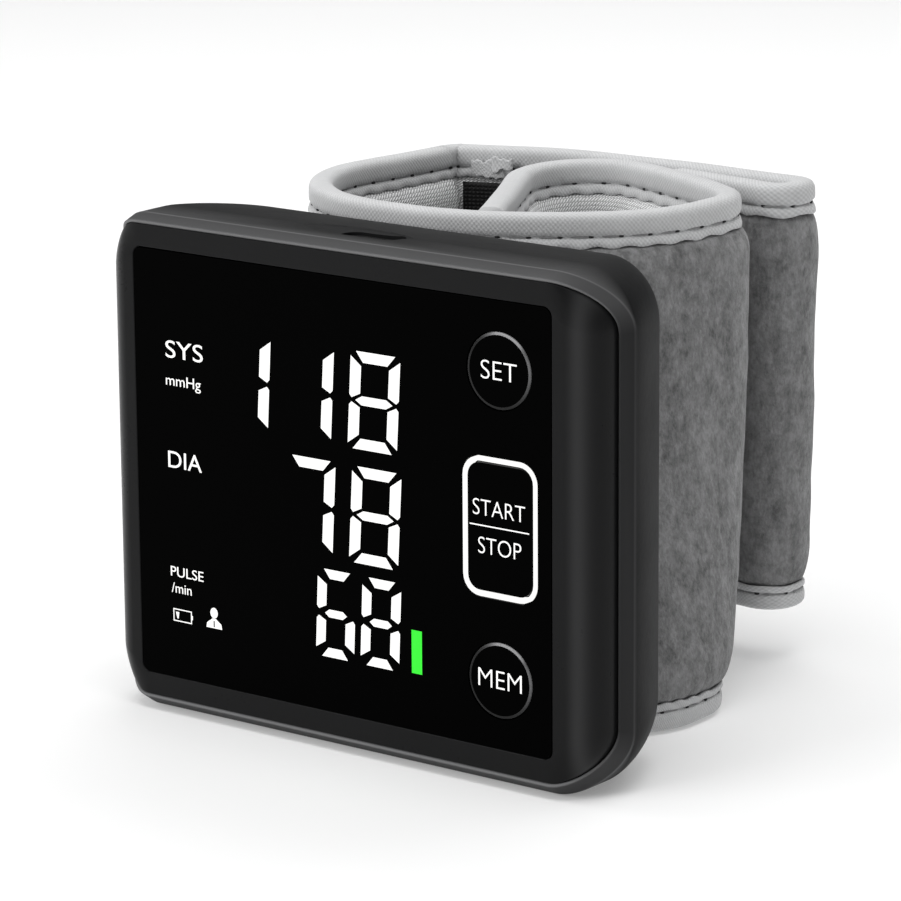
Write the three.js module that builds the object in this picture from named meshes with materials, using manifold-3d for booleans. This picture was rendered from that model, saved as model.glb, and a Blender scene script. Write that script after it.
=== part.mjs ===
// Wrist blood pressure monitor: a two-part moulded casing with a flush display panel,
// three keys and the works inside, on a padded wrist cuff that is folded for storage.
// Millimetres. X runs along the casing's width, Y from its face back to the cuff, Z up.
// The pieces are drawn about the centre of the display panel's front.

import * as THREE from 'three';
import { mergeVertices } from 'three/addons/utils/BufferGeometryUtils.js';
import Module from 'manifold-3d';

const wasm = await Module();
wasm.setup();

// Clearances
const PART_GAP = 0.3; // between pieces that touch or are glued
const FINE_GAP = 0.12; // round a piece set flush in another
const KEY_GAP = 0.22; // round a key that slides
const CUT_OVERRUN = 1.5; // how far a cutting shape passes the face it cuts

// Display panel
const PANEL_WIDTH = 66.7;
const PANEL_HEIGHT = 56.9;
const PANEL_CORNER = 1.8;
const PANEL_THICKNESS = 1.2;

// Front cover: flat face, both side edges rolled back on a quarter ellipse
const BEZEL_SIDE = 1.65; // flat face beside the panel
const BEZEL_END = 3.1; // face above and below the panel
const ROLL_WIDTH = 4.1;
const ROLL_DEPTH = 5.75;
const COVER_CORNER = 6.6;
const COVER_FLOOR_BACK = 3; // back of the floor that carries the panel
const COVER_WALL = 1.6;
const COVER_DEPTH = 8; // back edge of the skirt
const FACE_FLAT = PANEL_WIDTH / 2 + BEZEL_SIDE;
const COVER_HALF_WIDTH = FACE_FLAT + ROLL_WIDTH;
const COVER_HALF_HEIGHT = PANEL_HEIGHT / 2 + BEZEL_END;

// Rear shell: a chamfered lip round the cover, straight sides and a rounded back
const LIP_LAND = 0.2;
const LIP_CHAMFER = 0.65;
const LIP_CHAMFER_BOTTOM = 1.5;
const LIP_CHAMFER_DEPTH = 2.2;
const CASE_DEPTH = 21.5;
const CASE_STRAIGHT_DEPTH = 8; // the sides are straight this far back
const BACK_ROUND_SIDE = 6.3; // how far the rounding draws each side in
const BACK_ROUND_END = 1.9; // and the top and the bottom
const BACK_ROUND_SHARE = 1.5; // power of the rounding's curve, 1 being a circle
const SHELL_WALL = 1.8;
const LIP_REACH = PART_GAP + LIP_LAND;
const SHELL_HALF_WIDTH = COVER_HALF_WIDTH + LIP_REACH + LIP_CHAMFER;
const SHELL_TOP = COVER_HALF_HEIGHT + LIP_REACH + LIP_CHAMFER;
const SHELL_BOTTOM = -COVER_HALF_HEIGHT - LIP_REACH - LIP_CHAMFER_BOTTOM;
const INNER_BACK = CASE_DEPTH - SHELL_WALL;

// Charging port in a scoop in the top face
const SCOOP_X = -2.4;
const SCOOP_LENGTH = 18;
const SCOOP_WIDTH = 5.8;
const SCOOP_Y = 7.8;
const SCOOP_DEPTH = 0.75;
const PORT_X = 0.6;
const PORT_Y = 7.1;
const PORT_WIDTH = 9;
const PORT_THICKNESS = 3.2;
const PORT_LENGTH = 7.4;
const PORT_SHEET = 0.3;
const PORT_TONGUE_WIDTH = 6.6;
const PORT_TONGUE_THICKNESS = 0.7;

// Keys
const KEY_COLUMN_INSET = 7.85; // from the panel's right edge
const ROUND_KEY_INSET = 8.77; // from the panel's upper and lower edges
const KEY_COLUMN_X = PANEL_WIDTH / 2 - KEY_COLUMN_INSET;
const ROUND_KEY_OFFSET_Z = PANEL_HEIGHT / 2 - ROUND_KEY_INSET;
const ROUND_KEY_RADIUS = 4.8;
const MAIN_KEY_Z = -0.3;
const MAIN_KEY_WIDTH = 11.35; // outside its light ring
const MAIN_KEY_HEIGHT = 17.8;
const MAIN_KEY_CORNER = 2.6;
const RING_WIDTH = 0.55;
const KEY_TRAVEL = 0.5;
const KEY_FLANGE_REACH = 0.8;
const KEY_FLANGE_THICKNESS = 0.7;
const KEY_EDGE = 0.15; // rounded edge of a key's face
const PANEL_SET_BACK = 0.05; // the panel and the keys lie just behind the cover's face

// Main board, with the display module and the switches on its front
const BOARD_FRONT = 6.9;
const BOARD_THICKNESS = 1.2;
const BOARD_SIDE_GAP = 4.5; // to the cover's skirt
const BOARD_END_GAP = 1.45;
const BOARD_WIDTH = 2 * (COVER_HALF_WIDTH - COVER_WALL - BOARD_SIDE_GAP);
const BOARD_HEIGHT = 2 * (COVER_HALF_HEIGHT - COVER_WALL - BOARD_END_GAP);
const BOARD_CORNER = 2;
const BOARD_BACK = BOARD_FRONT + BOARD_THICKNESS;
const SWITCH_SIZE = 6;
const SWITCH_BODY_THICKNESS = 1.5;
const SWITCH_PLUNGER_RADIUS = 1.7;
const CHIP_SIZE = 9;
const CHIP_THICKNESS = 1.1;
const CHIP_X = 8;
const CHIP_Z = 20;

// Display module: a mask with seven-segment slots, and the light bars behind it
const MODULE_SIDE_INSET = 3.75; // from the panel's left edge
const MODULE_KEY_GAP = 10.1; // to the middle of the keys
const MODULE_TOP_INSET = 7.65; // from the panel's upper edge
const MODULE_BOTTOM_INSET = 5.65;
const MODULE_LEFT = MODULE_SIDE_INSET - PANEL_WIDTH / 2;
const MODULE_RIGHT = KEY_COLUMN_X - MODULE_KEY_GAP;
const MODULE_BOTTOM = MODULE_BOTTOM_INSET - PANEL_HEIGHT / 2;
const MODULE_TOP = PANEL_HEIGHT / 2 - MODULE_TOP_INSET;
const MODULE_HEIGHT = MODULE_TOP - MODULE_BOTTOM;
const MASK_THICKNESS = 2;
const BAR_HEIGHT = 2;
const SEGMENT_WIDTH = 1.5;
const SEGMENT_GAP = 0.42;
const SEGMENT_TIP_SHARE = 0.3;
const DIGIT_SLANT_SHARE = 0.055; // how far the digits lean, as a share of their height
const LARGE_DIGIT_WIDTH = 7.5;
const LARGE_DIGIT_PITCH = 10.35;
const SMALL_DIGIT_WIDTH = 6;
const SMALL_DIGIT_PITCH = 7.4;
const DIGITS_INSET = 6.1; // from the module's right edge to the digits' feet
const LARGE_DIGIT_SHARE = 0.2867; // heights of the digits, as shares of the module's
const SMALL_DIGIT_SHARE = 0.2661;
const ROW_FOOT_SHARES = [0.6789, 0.3372, 0.0344]; // and where each row stands

// Case screws and their bosses
const LEFT_BOSS_INSET = 9.1; // from the cover's edges
const LEFT_BOSS_END_INSET = 6.35;
const RIGHT_BOSS_INSET = 8.1;
const LEFT_BOSS_X = LEFT_BOSS_INSET - COVER_HALF_WIDTH;
const LEFT_BOSS_Z = COVER_HALF_HEIGHT - LEFT_BOSS_END_INSET;
const RIGHT_BOSS_X = COVER_HALF_WIDTH - RIGHT_BOSS_INSET;
const COVER_BOSS_RADIUS = 2.2;
const COVER_BOSS_END = 12;
const SHELL_BOSS_RADIUS = 3.1;
const SCREW_RADIUS = 0.9;
const SCREW_HEAD_RADIUS = 1.8;
const SCREW_HEAD_HEIGHT = 1.5;
const SCREW_SLOT_WIDTH = 0.6;
const SCREW_LENGTH = 10;
const HEAD_RECESS_DEPTH = 4.8;

// Air system behind the board
const MOUNT_X = -8.5; // the cuff's screws and its air nipple
const CUFF_SCREW_INSET = 14.7; // from the shell's top
const CUFF_SCREW_Z = SHELL_TOP - CUFF_SCREW_INSET;
const CUFF_SCREW_LENGTH = 4.1;
const STIFFENER_BOSS_RADIUS = 2.4;
const NIPPLE_RADIUS = 1.6;
const NIPPLE_BORE = 0.9;
const NIPPLE_REACH = 3; // how far it stands into the case
const AIR_LINE_Y = (BOARD_BACK + INNER_BACK) / 2;
const TUBE_RADIUS = 2.6;
const TUBE_BORE = 1.95;
const NOZZLE_RADIUS = 1.6;
const NOZZLE_LENGTH = 2.4;
const PUMP_X = -19;
const MOTOR_CLEARANCE = 0.7; // before and behind the motor
const MOTOR_RADIUS = (INNER_BACK - BOARD_BACK) / 2 - MOTOR_CLEARANCE;
const MOTOR_LENGTH = 18;
const MOTOR_COLLAR_RADIUS = 2.4;
const MOTOR_COLLAR_LENGTH = 1;
const PUMP_HEAD_WIDTH = 11;
const PUMP_HEAD_HEIGHT = 10;
const PUMP_HEAD_CORNER = 1.6;
const VALVE_RADIUS = 3.8;
const VALVE_TOP_Z = -4.6;
const VALVE_CLEARANCE = 1; // above the lower cuff screw
const VALVE_LENGTH = CUFF_SCREW_Z - SCREW_HEAD_RADIUS - VALVE_CLEARANCE + VALVE_TOP_Z;
const SENSOR_SHARE = 0.58; // how far up the tube it stands
const SENSOR_SIZE = 6.5;
const SENSOR_THICKNESS = 1;
const SENSOR_NOZZLE_LENGTH = 1.6;
const BUZZER_RADIUS = 4;
const BUZZER_CLEARANCE = 0.8; // above the pump head
const BUZZER_TOP_GAP = 3.3; // below the shell's wall
const BUZZER_Z = SHELL_TOP - SHELL_WALL - BUZZER_TOP_GAP - BUZZER_RADIUS;
const BUZZER_THICKNESS = 2.6;
const BUZZER_HOLE = 0.8;
const CELL_HEIGHT = 42;
const CELL_THICKNESS = 5.8;
const CELL_CORNER = 2.4;
const CELL_INSET = 13.1; // from the cover's right edge
const CELL_CLEARANCE = 4.7; // beside the valve
const CELL_RIGHT = COVER_HALF_WIDTH - CELL_INSET;
const CELL_LEFT = MOUNT_X + VALVE_RADIUS + CELL_CLEARANCE;
const CELL_Z = -3;

// Cuff strap, across its height: two skins held at the edges by a folded binding tape
const CUFF_TOP_INSET = 0.3; // below the casing's top
const CUFF_TOP = SHELL_TOP - CUFF_TOP_INSET;
const CUFF_BOTTOM = SHELL_BOTTOM;
const BINDING_HEIGHT = 4.4;
const BINDING_HALF = 1.75;
const BINDING_TAPE = 0.55;
const BINDING_ROUND = 0.8;
const SKIN_THICKNESS = 0.75;
const EDGE_HALF = BINDING_HALF - BINDING_TAPE - PART_GAP;
const PAD_HALF = 2.9; // half the thickness of the padded sleeve
const FLAP_HALF = 2.1; // half the thickness of the flap
const SHOULDER_TOP = 3.5;
const SHOULDER_BOTTOM = 5.5;
const SHOULDER_SHARES = [0.1, 0.4, 1];
const MIDDLE_SHARES = [0.33, 0.67]; // rows between the shoulders, which follow the strap's twist

// Cuff sleeve, in plan, along the middle of the strap, with Y counted from the casing's back:
// its upper edge, and where the lower edge, which spreads out to the right, differs from it
const CUFF_SEAT_GAP = 0.4;
const FRONT_WALL_DISTANCE = CUFF_SEAT_GAP + PAD_HALF;
const FRONT_WALL_Y = CASE_DEPTH + FRONT_WALL_DISTANCE;
const LEFT_BEND_X = -35.5;
const LEFT_BEND_RADIUS = 22;
const CREASE_X = -32.7;
const CREASE_Y = 43.5;
const FRONT_BEND_X = 17.1;
const FRONT_BEND_RADIUS = 30;
const RIGHT_TURN_X = 23.2;
const RIGHT_TURN_Y = 33.9;
const RIGHT_TURN_RADIUS = 4.2;
const LOW_FRONT_BEND_X = 29.4;
const LOW_FRONT_BEND_RADIUS = 11.5;
const LOW_RIGHT_TURN_X = 28.4;
const LOW_RIGHT_TURN_Y = 21.5;
const LOW_RIGHT_TURN_RADIUS = 6.5;
const ROLL_CORNER_X = -18.4;
const ROLL_CORNER_Y = 49.6;
const ROLL_TURN_RADIUS = 6;
const ROLL_END_X = 0.4;
const ROLL_END_Y = 10.3;

// Inside the sleeve
const STIFFENER_OUTER = PAD_HALF - SKIN_THICKNESS - PART_GAP;
const STIFFENER_THICKNESS = 0.8;
const BLADDER_INSET = 1.5; // how far the bladder ends inside the stiffener's edges
const STIFFENER_SHARES = [0.03, 0.52];
const BLADDER_SHARES = [0.06, 0.5];

// Flap: sewn on at the crease, folded back on itself at its right end
const FLAP_TIP_X = 4;
const FLAP_TIP_Y = 47.1;
const FLAP_RIGHT_X = 22.8;
const FLAP_INNER_Y = 43.5;
const FLAP_OUTER_Y = 52.1;
const FLAP_FOLD_RADIUS = 3.8;
const FLAP_BEND_X = -14.6;
const FLAP_BEND_RADIUS = 40;
const FLAP_ROOT_X = -31.6;
const FLAP_ROOT_Y = 46;
const LOW_FLAP_RIGHT_X = 22;
const LOW_FLAP_SHIFT_Y = -0.6;
const FLAP_RISE = 6.9; // how far the flap's lower edge lies above the sleeve's at its fold
const FLAP_RISE_SHARE = 0.25; // share of the flap's length over which half of that rise comes
const PADDING_HALF = 0.85;
const HOOK_THICKNESS = 1;
const HOOK_INSET = 9;
const HOOK_SHARES = [0.56, 0.84];
const TAIL_HEIGHT = 4.6;
const TAIL_INSET = 0.7;
const TAIL_SHARES = [0.875, 0.985];

// Facet counts
const CORNER_STEPS = 6;
const ROUND_STEPS = 24;
const SMALL_ROUND_STEPS = 12;
const HEAD_CORNER_STEPS = 2;
const BACK_ROUND_STEPS = 6;
const ROLL_STEPS = 8;
const TUBE_SIDES = 9;
const TUBE_STEPS = 15;
const [WIDE_BEND_STEPS, TIGHT_BEND_STEPS, SHALLOW_BEND_STEPS] = [6, 7, 2];

// Joining and cutting

function signedVolume(positions, index) {
  let total = 0;
  for (let i = 0; i < index.length; i += 3) {
    const [a, b, c] = [0, 1, 2].map((k) => new THREE.Vector3().fromArray(positions, index[i + k] * 3));
    total += a.dot(b.cross(c));
  }
  return total;
}

// A merged geometry whose faces point outwards
function closed(geometry) {
  const bare = geometry.clone();
  bare.deleteAttribute('normal');
  bare.deleteAttribute('uv');
  const merged = mergeVertices(bare);
  const index = Array.from(merged.index.array);
  if (signedVolume(merged.attributes.position.array, index) < 0) index.reverse();
  merged.setIndex(index);
  return merged;
}

function toSolid(geometry) {
  const merged = closed(geometry);
  const vertProperties = new Float32Array(merged.attributes.position.array);
  const triVerts = new Uint32Array(merged.index.array);
  return new wasm.Manifold(new wasm.Mesh({ numProp: 3, vertProperties, triVerts }));
}

function toGeometry(solid) {
  const mesh = solid.getMesh();
  const geometry = new THREE.BufferGeometry();
  geometry.setAttribute('position', new THREE.BufferAttribute(mesh.vertProperties, 3));
  geometry.setIndex(new THREE.BufferAttribute(mesh.triVerts, 1));
  geometry.computeVertexNormals();
  return geometry;
}

const join = (first, ...others) => others.reduce((solid, other) => solid.add(other), first);
const cut = (first, ...others) => others.reduce((solid, other) => solid.subtract(other), first);

// Basic forms. A plate or rod lies along Y between two depths

function shapeFrom(points) {
  return new THREE.Shape(points.map(([x, y]) => new THREE.Vector2(x, y)));
}

function extrudeAlongY(shape, front, back) {
  const geometry = new THREE.ExtrudeGeometry(shape, { depth: back - front, bevelEnabled: false });
  geometry.rotateX(Math.PI / 2);
  geometry.translate(0, back, 0);
  return geometry;
}

// Corner points of a rounded rectangle, anticlockwise from the right side
function roundedOutline(right, top, left, bottom, corner, steps = CORNER_STEPS) {
  const centres = [
    [right - corner, top - corner],
    [left + corner, top - corner],
    [left + corner, bottom + corner],
    [right - corner, bottom + corner],
  ];
  const points = [];
  centres.forEach(([x, z], quarter) => {
    for (let step = 0; step <= steps; step += 1) {
      const angle = (quarter + step / steps) * Math.PI / 2;
      points.push([x + corner * Math.cos(angle), z + corner * Math.sin(angle)]);
    }
  });
  return points;
}

function roundedPlate(x, z, width, height, corner, front, back) {
  const outline = roundedOutline(x + width / 2, z + height / 2, x - width / 2, z - height / 2, corner);
  return toSolid(extrudeAlongY(shapeFrom(outline), front, back));
}

function block(x, z, width, height, front, back) {
  const geometry = new THREE.BoxGeometry(width, back - front, height);
  geometry.translate(x, (front + back) / 2, z);
  return toSolid(geometry);
}

function rodAlongY(x, z, radius, front, back, steps = SMALL_ROUND_STEPS) {
  const geometry = new THREE.CylinderGeometry(radius, radius, back - front, steps);
  geometry.translate(x, (front + back) / 2, z);
  return toSolid(geometry);
}

function rodAlongZ(x, y, radius, low, high, steps = SMALL_ROUND_STEPS) {
  const geometry = new THREE.CylinderGeometry(radius, radius, high - low, steps);
  geometry.rotateX(Math.PI / 2);
  geometry.translate(x, y, (low + high) / 2);
  return toSolid(geometry);
}

function rodAlongX(y, z, radius, left, right, steps = SMALL_ROUND_STEPS) {
  const geometry = new THREE.CylinderGeometry(radius, radius, right - left, steps);
  geometry.rotateZ(Math.PI / 2);
  geometry.translate((left + right) / 2, y, z);
  return toSolid(geometry);
}

// Triangles that close an end ring whose outline is given, in the order of its points
function outlineCap(outline) {
  const contour = outline.map(([x, y]) => new THREE.Vector2(x, y));
  const triangles = THREE.ShapeUtils.triangulateShape(contour, []);
  return THREE.ShapeUtils.isClockWise(contour) ? triangles.map((each) => each.reverse()) : triangles;
}

// Triangles that close a ring whose second half runs back beside its first
function foldedCap(count) {
  const triangles = [];
  for (let i = 0; i + 1 < count / 2; i += 1) {
    const across = count - 1 - i;
    triangles.push([i, i + 1, across - 1], [i, across - 1, across]);
  }
  return triangles;
}

// A closed skin through rings of equal count, with the triangles that close its end rings.
// Every twisted face is split the same way up, so that nested skins stay parallel
function loft(rings, cap) {
  const count = rings[0].length;
  const positions = rings.flat(2);
  const index = [];
  for (let ring = 0; ring + 1 < rings.length; ring += 1) {
    for (let i = 0; i < count; i += 1) {
      const next = (i + 1) % count;
      const [a, b] = [ring * count + i, ring * count + next];
      const rising = rings[ring][next][2] >= rings[ring][i][2];
      if (rising) index.push(a, a + count, b, b, a + count, b + count);
      else index.push(a, a + count, b + count, a, b + count, b);
    }
  }
  const last = (rings.length - 1) * count;
  for (const [a, b, c] of cap) index.push(a, b, c, last + a, last + c, last + b);
  const geometry = new THREE.BufferGeometry();
  geometry.setAttribute('position', new THREE.Float32BufferAttribute(positions, 3));
  geometry.setIndex(index);
  return geometry;
}

// Casing

// Depth of the cover's face where its side edge rolls back
function rolledDepth(x) {
  const share = Math.min(Math.max(Math.abs(x) - FACE_FLAT, 0) / ROLL_WIDTH, 1);
  return ROLL_DEPTH * (1 - Math.sqrt(1 - share * share));
}

// The cover seen from above: flat face, rolled edges and skirt, or the hollow behind them
function coverPlan(front, flat, half, rollDepth, back) {
  const right = [];
  for (let step = 0; step <= ROLL_STEPS; step += 1) {
    const angle = step / ROLL_STEPS * Math.PI / 2;
    const x = flat + (half - flat) * Math.sin(angle);
    right.push([x, front + rollDepth * (1 - Math.cos(angle))]);
  }
  right.push([half, back]);
  const left = right.map(([x, y]) => [-x, y]).reverse();
  const depth = 2 * (SHELL_TOP - SHELL_BOTTOM);
  const outline = shapeFrom([...right, ...left]);
  const geometry = new THREE.ExtrudeGeometry(outline, { depth, bevelEnabled: false });
  geometry.translate(0, 0, -depth / 2);
  return toSolid(geometry);
}

function coverPrism(inset, front, back) {
  const [half, top] = [COVER_HALF_WIDTH - inset, COVER_HALF_HEIGHT - inset];
  const outline = roundedOutline(half, top, -half, -top, COVER_CORNER - inset);
  return toSolid(extrudeAlongY(shapeFrom(outline), front, back));
}

function portCutter(reach) {
  const width = PORT_WIDTH + 2 * reach;
  const thickness = PORT_THICKNESS + 2 * reach;
  const outline = roundedOutline(width / 2, thickness / 2, -width / 2, -thickness / 2, thickness / 2);
  const depth = SHELL_TOP;
  const geometry = new THREE.ExtrudeGeometry(shapeFrom(outline), { depth, bevelEnabled: false });
  geometry.translate(PORT_X, PORT_Y, SHELL_TOP - PORT_LENGTH);
  return toSolid(geometry);
}

// The right-hand screws stand midway between the keys, the left-hand ones in the corners
const KEY_GAP_Z = (ROUND_KEY_OFFSET_Z - ROUND_KEY_RADIUS + MAIN_KEY_HEIGHT / 2) / 2;
const bossPlaces = [
  [RIGHT_BOSS_X, KEY_GAP_Z + MAIN_KEY_Z / 2],
  [LEFT_BOSS_X, LEFT_BOSS_Z],
  [LEFT_BOSS_X, -LEFT_BOSS_Z],
  [RIGHT_BOSS_X, -KEY_GAP_Z + MAIN_KEY_Z / 2],
];

function mainKeyPlate(inset, front, back) {
  const width = MAIN_KEY_WIDTH - 2 * inset;
  const height = MAIN_KEY_HEIGHT - 2 * inset;
  return roundedPlate(KEY_COLUMN_X, MAIN_KEY_Z, width, height, MAIN_KEY_CORNER - inset, front, back);
}

const MAIN_CAP_INSET = RING_WIDTH + KEY_GAP;
const PANEL_BACK = PANEL_SET_BACK + PANEL_THICKNESS;
const RECESS_DEPTH = PANEL_BACK + PART_GAP / 2;

function roundKeyHole(sign, front, back) {
  const z = sign * ROUND_KEY_OFFSET_Z;
  return rodAlongY(KEY_COLUMN_X, z, ROUND_KEY_RADIUS + KEY_GAP, front, back, ROUND_STEPS);
}

function frontCover() {
  const outer = coverPlan(0, FACE_FLAT, COVER_HALF_WIDTH, ROLL_DEPTH, COVER_DEPTH);
  const hollowHalf = COVER_HALF_WIDTH - COVER_WALL;
  const hollowBack = COVER_DEPTH + CUT_OVERRUN;
  const hollow = coverPlan(COVER_FLOOR_BACK, FACE_FLAT, hollowHalf, ROLL_DEPTH - COVER_WALL, hollowBack);
  const shell = outer.intersect(coverPrism(0, -CUT_OVERRUN, COVER_DEPTH));
  const inside = hollow.intersect(coverPrism(COVER_WALL, COVER_FLOOR_BACK, hollowBack));
  const recess = roundedPlate(0, 0, PANEL_WIDTH + 2 * FINE_GAP, PANEL_HEIGHT + 2 * FINE_GAP,
    PANEL_CORNER + FINE_GAP, -CUT_OVERRUN, RECESS_DEPTH);
  const floorEnd = COVER_FLOOR_BACK + CUT_OVERRUN;
  const display = block((MODULE_LEFT + MODULE_RIGHT) / 2, (MODULE_TOP + MODULE_BOTTOM) / 2,
    MODULE_RIGHT - MODULE_LEFT + 2 * PART_GAP, MODULE_TOP - MODULE_BOTTOM + 2 * PART_GAP, 0, floorEnd);
  const keyHoles = [roundKeyHole(1, 0, floorEnd), roundKeyHole(-1, 0, floorEnd),
    mainKeyPlate(MAIN_CAP_INSET - KEY_GAP, 0, floorEnd)];
  let body = cut(shell, inside, recess, display, ...keyHoles);
  for (const [x, z] of bossPlaces) {
    const boss = rodAlongY(x, z, COVER_BOSS_RADIUS, COVER_FLOOR_BACK - PART_GAP, COVER_BOSS_END);
    const boreFront = COVER_FLOOR_BACK + PART_GAP;
    const bore = rodAlongY(x, z, SCREW_RADIUS + PART_GAP, boreFront, COVER_BOSS_END + CUT_OVERRUN);
    body = cut(body.add(boss), bore);
  }
  return cut(body, portCutter(PART_GAP));
}

function displayPanel() {
  const plate = roundedPlate(0, 0, PANEL_WIDTH, PANEL_HEIGHT, PANEL_CORNER, PANEL_SET_BACK, PANEL_BACK);
  const through = [-CUT_OVERRUN, PANEL_BACK + CUT_OVERRUN];
  const ringSeat = mainKeyPlate(-FINE_GAP, ...through);
  return cut(plate, roundKeyHole(1, ...through), roundKeyHole(-1, ...through), ringSeat);
}

function keyRing() {
  const ring = mainKeyPlate(0, PANEL_SET_BACK, PANEL_BACK);
  return ring.subtract(mainKeyPlate(RING_WIDTH, -CUT_OVERRUN, PANEL_BACK + CUT_OVERRUN));
}

const FLANGE_FRONT = COVER_FLOOR_BACK + PART_GAP;
const FLANGE_BACK = FLANGE_FRONT + KEY_FLANGE_THICKNESS;

// Turned profile: a cap with a softened edge, and a flange that holds it behind the floor
function roundKey() {
  const flange = ROUND_KEY_RADIUS + KEY_FLANGE_REACH;
  const profile = [
    [0, PANEL_SET_BACK],
    [ROUND_KEY_RADIUS - KEY_EDGE, PANEL_SET_BACK],
    [ROUND_KEY_RADIUS, PANEL_SET_BACK + KEY_EDGE],
    [ROUND_KEY_RADIUS, FLANGE_FRONT],
    [flange, FLANGE_FRONT],
    [flange, FLANGE_BACK],
    [0, FLANGE_BACK],
  ];
  return new THREE.LatheGeometry(profile.map(([x, y]) => new THREE.Vector2(x, y)), ROUND_STEPS);
}

function mainKey() {
  const cap = mainKeyPlate(MAIN_CAP_INSET, PANEL_SET_BACK, FLANGE_BACK);
  const flange = mainKeyPlate(MAIN_CAP_INSET - KEY_FLANGE_REACH, FLANGE_FRONT, FLANGE_BACK);
  return cap.add(flange);
}

// One ring of the rear shell: the cover's outline grown by a margin on each side
function shellRing({ side, top, bottom, corner }, depthAt) {
  const half = COVER_HALF_WIDTH;
  const along = roundedOutline(half, COVER_HALF_HEIGHT, -half, -COVER_HALF_HEIGHT, COVER_CORNER);
  const grown = roundedOutline(half + side, COVER_HALF_HEIGHT + top, -half - side,
    -COVER_HALF_HEIGHT - bottom, COVER_CORNER + corner);
  return grown.map(([x, z], i) => [x, depthAt(along[i][0]), z]);
}

// The rings of the rounded back, from where the sides are straight to the back face
function backRings(margins, back) {
  const rings = [];
  for (let step = 0; step <= BACK_ROUND_STEPS; step += 1) {
    const angle = step / BACK_ROUND_STEPS * Math.PI / 2;
    const inset = 1 - Math.cos(angle) ** BACK_ROUND_SHARE;
    const depth = CASE_STRAIGHT_DEPTH + (back - CASE_STRAIGHT_DEPTH) * Math.sin(angle) ** BACK_ROUND_SHARE;
    const drawnIn = {
      ...margins,
      side: margins.side - inset * BACK_ROUND_SIDE,
      top: margins.top - inset * BACK_ROUND_END,
      bottom: margins.bottom - inset * BACK_ROUND_END,
    };
    rings.push(shellRing(drawnIn, () => depth));
  }
  return rings;
}

const SHELL_MARGIN = LIP_REACH + LIP_CHAMFER;

function shellOutside() {
  const lip = { side: LIP_REACH, top: LIP_REACH, bottom: LIP_REACH, corner: LIP_REACH };
  const bottom = LIP_REACH + LIP_CHAMFER_BOTTOM;
  const full = { side: SHELL_MARGIN, top: SHELL_MARGIN, bottom, corner: SHELL_MARGIN };
  const rings = [
    shellRing(lip, rolledDepth),
    shellRing(full, (x) => rolledDepth(x) + LIP_CHAMFER_DEPTH),
    ...backRings(full, CASE_DEPTH),
  ];
  return toSolid(loft(rings, outlineCap(rings[0].map(([x, , z]) => [x, z]))));
}

function shellInside() {
  const margin = SHELL_MARGIN - SHELL_WALL;
  const hollow = { side: margin, top: margin, bottom: margin, corner: margin };
  const mouth = shellRing(hollow, () => CASE_STRAIGHT_DEPTH - CUT_OVERRUN);
  const rings = [mouth, ...backRings(hollow, INNER_BACK)];
  return toSolid(loft(rings, outlineCap(rings[0].map(([x, , z]) => [x, z]))));
}

// Eye-shaped scoop round the port: two shallow arcs that meet in points at its ends
function scoopCutter() {
  const half = SCOOP_LENGTH / 2;
  const points = [];
  for (const side of [1, -1]) {
    for (let step = 0; step < 2 * CORNER_STEPS; step += 1) {
      const angle = step / (2 * CORNER_STEPS) * Math.PI;
      points.push([side * half * Math.cos(angle), side * SCOOP_WIDTH / 2 * Math.sin(angle)]);
    }
  }
  const depth = SCOOP_DEPTH + CUT_OVERRUN;
  const bevel = { bevelThickness: SCOOP_DEPTH, bevelSize: -SCOOP_DEPTH, bevelSegments: 3 };
  const geometry = new THREE.ExtrudeGeometry(shapeFrom(points), { depth, ...bevel });
  geometry.translate(SCOOP_X, SCOOP_Y, SHELL_TOP);
  return toSolid(geometry);
}

function rearShell() {
  const rebate = coverPrism(-PART_GAP, -CUT_OVERRUN, COVER_DEPTH + PART_GAP);
  let body = cut(shellOutside(), rebate, shellInside());
  for (const [x, z] of bossPlaces) {
    const boss = rodAlongY(x, z, SHELL_BOSS_RADIUS, COVER_BOSS_END + PART_GAP, INNER_BACK + PART_GAP);
    const recessFloor = CASE_DEPTH - HEAD_RECESS_DEPTH;
    const recess = rodAlongY(x, z, SCREW_HEAD_RADIUS + PART_GAP, recessFloor, CASE_DEPTH + CUT_OVERRUN);
    const hole = rodAlongY(x, z, SCREW_RADIUS + PART_GAP, COVER_BOSS_END - CUT_OVERRUN, CASE_DEPTH);
    body = cut(body.add(boss), recess, hole);
  }
  const wall = [INNER_BACK - CUT_OVERRUN, CASE_DEPTH + CUT_OVERRUN];
  const hole = (z) => rodAlongY(MOUNT_X, z, SCREW_RADIUS + PART_GAP, ...wall);
  const holes = [CUFF_SCREW_Z, -CUFF_SCREW_Z].map(hole);
  holes.push(rodAlongY(MOUNT_X, 0, NIPPLE_RADIUS + PART_GAP, ...wall));
  return cut(body, ...holes, scoopCutter(), portCutter(PART_GAP));
}

// Screws: a slotted pan head and a plain shank, the tip towards the given side
function screw(x, z, headBack, length, towards) {
  const headFront = headBack + towards * SCREW_HEAD_HEIGHT;
  const tip = headFront + towards * length;
  const sorted = (a, b) => [Math.min(a, b), Math.max(a, b)];
  const head = rodAlongY(x, z, SCREW_HEAD_RADIUS, ...sorted(headBack, headFront));
  const shank = rodAlongY(x, z, SCREW_RADIUS, ...sorted(headFront - towards * SCREW_HEAD_HEIGHT / 2, tip));
  const slotDepth = sorted(headBack - towards * CUT_OVERRUN, headBack + towards * SCREW_SLOT_WIDTH);
  const slot = block(x, z, 2 * SCREW_HEAD_RADIUS + CUT_OVERRUN, SCREW_SLOT_WIDTH, ...slotDepth);
  return cut(join(head, shank), slot);
}

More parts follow.
